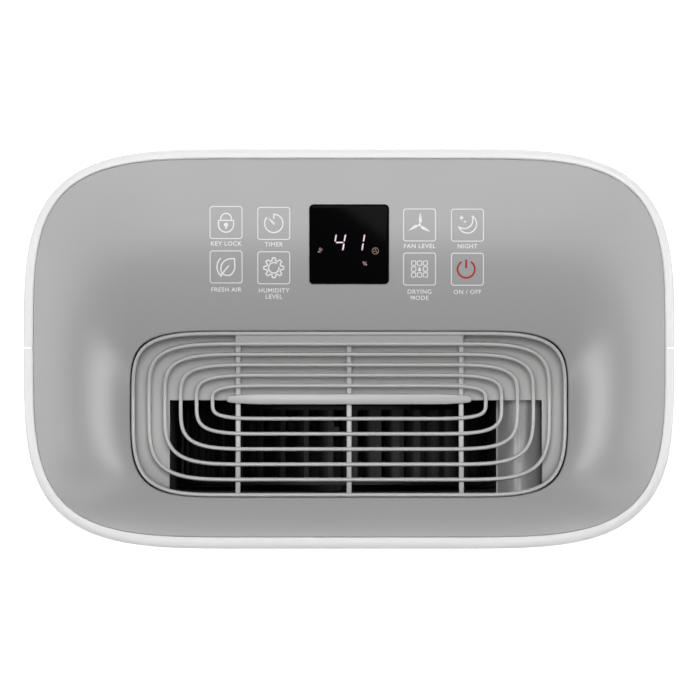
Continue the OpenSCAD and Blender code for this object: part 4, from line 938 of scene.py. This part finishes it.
screwPlaces = [(x, z) for x in (-166.0, 166.0) for z in (74.0, 279.0, 524.0)]
frontPanel = {"half": 150.0, "z0": 44.4, "z1": 224.4}
handleLo, handleHi = (np.array(p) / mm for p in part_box("handle_cup_right"))
handleCut = roundBox([-200, handleLo[1] - 0.3, handleLo[2] - 0.3],
    [200, handleHi[1] + 0.3, handleHi[2] + 0.3], 2.0)
tankCut = roundBox([-frontPanel["half"], -150, frontPanel["z0"]],
    [frontPanel["half"], -60, frontPanel["z1"]], 1.5)
frontMesh = cutAway(makeMesh("frontShell", shellPart(False), angle=30), [handleCut, tankCut], "frontShell",
    30)
addPiece("frontShell", frontMesh, finishes["shellGloss"], "cabinet", ["front_shell"])

intakeLo, intakeHi = (np.array(p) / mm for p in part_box("intake_grille"))
intakeCut = roundBox([intakeLo[0] - 0.4, 60, intakeLo[2] - 0.4],
    [intakeHi[0] + 0.4, 150, intakeHi[2] + 0.4], 1.5)
spigotLo, spigotHi = (np.array(p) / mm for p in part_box("drain_plug"))
spigotMid = (spigotLo + spigotHi) / 2
glandLo, glandHi = (np.array(p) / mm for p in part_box("cord_gland"))
glandMid = (glandLo + glandHi) / 2
rodCut = lambda x, z, r: lathe([(0, 40), (r, 40), (r, 140), (0, 140)], (x, 0, z), "Y", 48)
rearCuts = [handleCut, intakeCut, rodCut(spigotMid[0], spigotMid[2], 12.9),
    rodCut(glandMid[0], glandMid[2], 9.2)]
rearCuts += [rodCut(x, z, 4.6) for x, z in screwPlaces]
rearMesh = cutAway(makeMesh("rearShell", shellPart(True), angle=30), rearCuts, "rearShell", 30)
addPiece("rearShell", rearMesh, finishes["shellGloss"], "cabinet", ["rear_shell"])
posts = [postPart(x, z, 63.3, float(outlineY(abs(x) + 6)) - 1.4, 4.6, 6.6) for x, z in screwPlaces]
posts += [postPart(x, z, 63.2, 69.0, 2.2, 6.6) for x, z in screwPlaces]
addPiece("screwTunnels", makeMesh("screwTunnels", joined(posts)), finishes["shellGloss"], "cabinet")
print("shells done")

dressing = {
    "well_seal": ("softRubber", 0), "display_module": ("darkPlastic", 0.3),
    "control_board": ("boardLacquer", 0.1),
    "touch_springs": ("zincPlate", 0.1), "board_screws": ("zincPlate", 0.2),
    "handle_cup_left": ("shellGloss", 0.6),
    "handle_cup_right": ("shellGloss", 0.6), "base_plate": ("powderCoat", 0.6),
    "mid_deck": ("deckGrey", 0.5),
    # the scroll and its cover take the duct's dark finish, which is partly painted shade
    "tank_bay": ("deckGrey", 0.4), "shell_screws": ("zincPlate", 0.3), "fan_scroll": ("scrollPaintedShade", 0.4),
    "scroll_cover": ("scrollPaintedShade", 0.4), "fan_wheel": ("fanBlack", 0.2), "motor_shaft": ("blackSteel", 0.4),
    "fan_nut": ("blackSteel", 0.4), "fan_motor": ("blackSteel", 1.2), "motor_screws": ("blackSteel", 0.3),
    "evaporator_fins": ("finStock", 0), "evaporator_tube": ("copperTube", 0),
    "condenser_fins": ("finStock", 0),
    "condenser_tube": ("copperTube", 0), "drain_tray": ("trayPlastic", 0.4),
    "drain_elbow": ("trayPlastic", 0.4),
    "compressor": ("enamelBlack", 0.8), "accumulator": ("enamelBlack", 0.6),
    "compressor_grommets": ("softRubber", 0.6),
    "compressor_bolts": ("zincPlate", 0.4), "discharge_pipe": ("copperTube", 0),
    "suction_pipe": ("copperTube", 0),
    "capillary_tube": ("copperTube", 0), "electrics_box": ("darkPlastic", 0.8),
    "run_capacitor": ("finStock", 0.6),
    "cord_gland": ("softRubber", 0.5), "tank_switch": ("darkPlastic", 0.4),
    "intake_grille": ("shellGloss", 0.35),
    "filter_frame": ("deckGrey", 0.4), "filter_mesh": ("netBlack", 0), "drain_spigot": ("darkPlastic", 0.4),
    "drain_plug": ("softRubber", 0.5), "water_tank": ("tankClear", 0.7), "tank_front": ("shellGloss", 0.6),
    "level_window": ("windowSmoke", 0.4), "tank_lid": ("trayPlastic", 0.5),
    "tank_handle": ("grilleSatin", 1.4),
    "tank_float": ("floatFoam", 0.8),
}
for corner in ("front_left", "front_right", "rear_left", "rear_right"):
    dressing["castor_fork_" + corner] = ("darkPlastic", 0.5)
    dressing["castor_wheel_" + corner] = ("wheelNylon", 0.8)
# above this x and height the scroll keeps its light grey; below it, the dark finish paints the shade of the
# duct
scrollLitSide = {"x": 60.0, "z": 380.0}
bodyOf = {n: b for b, members in frame["record"]["behaviour"]["bodies"].items() for n in members}


def dressNode(name, material, bevel):
    # a merged copy of a CAD node with its flats joined up and its edges eased
    mesh = nodes[name].data.copy()
    bm = bmesh.new()
    bm.from_mesh(mesh)
    bmesh.ops.remove_doubles(bm, verts=bm.verts, dist=2e-6)
    bmesh.ops.dissolve_limit(bm, angle_limit=math.radians(0.6), verts=bm.verts, edges=bm.edges)
    bm.to_mesh(mesh)
    bm.free()
    mesh.shade_smooth()
    mesh.set_sharp_from_angle(angle=math.radians(28))
    piece = addPiece(name + "Skin", mesh, finishes[material], bodyOf[name], [name])
    if bevel:
        ease = piece.modifiers.new("ease", "BEVEL")
        ease.width, ease.segments, ease.limit_method = bevel * mm, 2, "ANGLE"
        ease.angle_limit = math.radians(32)
        ease.harden_normals = True
        ease.use_clamp_overlap = True
    return piece


for name, (material, bevel) in dressing.items():
    piece = dressNode(name, material, bevel)
    if name == "fan_scroll":
        # the scroll's right side, where it turns the air up, is light grey; the rest of the scroll keeps
        # the dark finish, which is painted shade for the dark inside of the duct
        piece.data.materials.append(finishes["ductGrey"])
        middle = np.zeros(len(piece.data.polygons) * 3)
        piece.data.polygons.foreach_get("center", middle)
        middle = middle.reshape(-1, 3) / mm
        light = (middle[:, 0] > scrollLitSide["x"]) & (middle[:, 2] > scrollLitSide["z"])
        piece.data.polygons.foreach_set("material_index", light.astype(np.int32))
print("carried-over nodes dressed:", len(dressing))

studio = {"distance": 4.0, "wide": 0.3974, "top": 69.0, "side": 62.0, "low": 16.0, "sky": 0.11, "glow": 1.1}
floorMesh = makeMesh("floor", gridPart(np.array([[[-6000.0, -6000, -0.5], [6000, -6000, -0.5]],
    [[-6000, 6000, -0.5], [6000, 6000, -0.5]]])),
    outward=False)
floorPale = finish("floorPale", (0.95, 0.95, 0.95), rough=0.8, depth=0.02, drift=0.01, speckle=0.0,
    glow=0.6)
floor = bpy.data.objects.new("floor", floorMesh)
bpy.context.scene.collection.objects.link(floor)
floorMesh.materials.append(floorPale)
# the floor glows for the camera only, so that it stays pale without lighting the cabinet from below
floorTree = floorPale.node_tree
seen = floorTree.nodes.new("ShaderNodeLightPath")
floorTree.links.new(mathNode(floorTree, "MULTIPLY", seen.outputs["Is Camera Ray"], studio["glow"]),
    floorTree.nodes["Principled BSDF"].inputs["Emission Strength"])


def softbox(name, place, target, size, power):
    # a square light aimed at a point
    light = bpy.data.lights.new(name, "AREA")
    light.shape, light.size, light.size_y, light.energy = "RECTANGLE", size[0], size[1], power
    holder = bpy.data.objects.new(name, light)
    holder.location = place
    holder.rotation_euler = (Vector(target) - Vector(place)).to_track_quat("-Z", "Y").to_euler()
    holder.visible_camera = False
    bpy.context.scene.collection.objects.link(holder)
    return holder


softbox("topBox", (0, 0.44, 3.4), (0, 0.4, 0), (1.2, 1.22), studio["top"])
for name, x in (("leftBox", -1.9), ("rightBox", 1.9)):
    # the side lights only gleam: they take no part in the diffuse light
    softbox(name, (x, 0.1, 2.15), (0, 0, 0.5), (1.2, 0.9), studio["side"]).visible_diffuse = False
for name, place in (("lowLeft", (-2.2, 0, 0.22)), ("lowRight", (2.2, 0, 0.22)),
        ("lowFront", (0, -2.2, 0.22)),
        ("lowBack", (0, 2.2, 0.22))):
    # low boxes, under the level of the top, that light the cabinet's sides
    softbox(name, place, (0, 0, 0.22), (1.8, 0.4), studio["low"])
world = bpy.data.worlds.new("studio")
bpy.context.scene.world = world
world.use_nodes = True
world.node_tree.nodes["Background"].inputs["Color"].default_value = (1, 1, 1, 1)
world.node_tree.nodes["Background"].inputs["Strength"].default_value = studio["sky"]
bpy.context.scene.view_settings.view_transform = "Standard"

camera = bpy.data.cameras.new("camera")
camera.sensor_width = 36.0
camera.lens = 36.0 * studio["distance"] / studio["wide"]
camera.clip_end = 50.0
cameraHolder = bpy.data.objects.new("camera", camera)
cameraHolder.location = (0.0005, -0.0012, cabinet["top"] * mm + studio["distance"])
bpy.context.scene.collection.objects.link(cameraHolder)
bpy.context.scene.camera = cameraHolder
print("studio done")
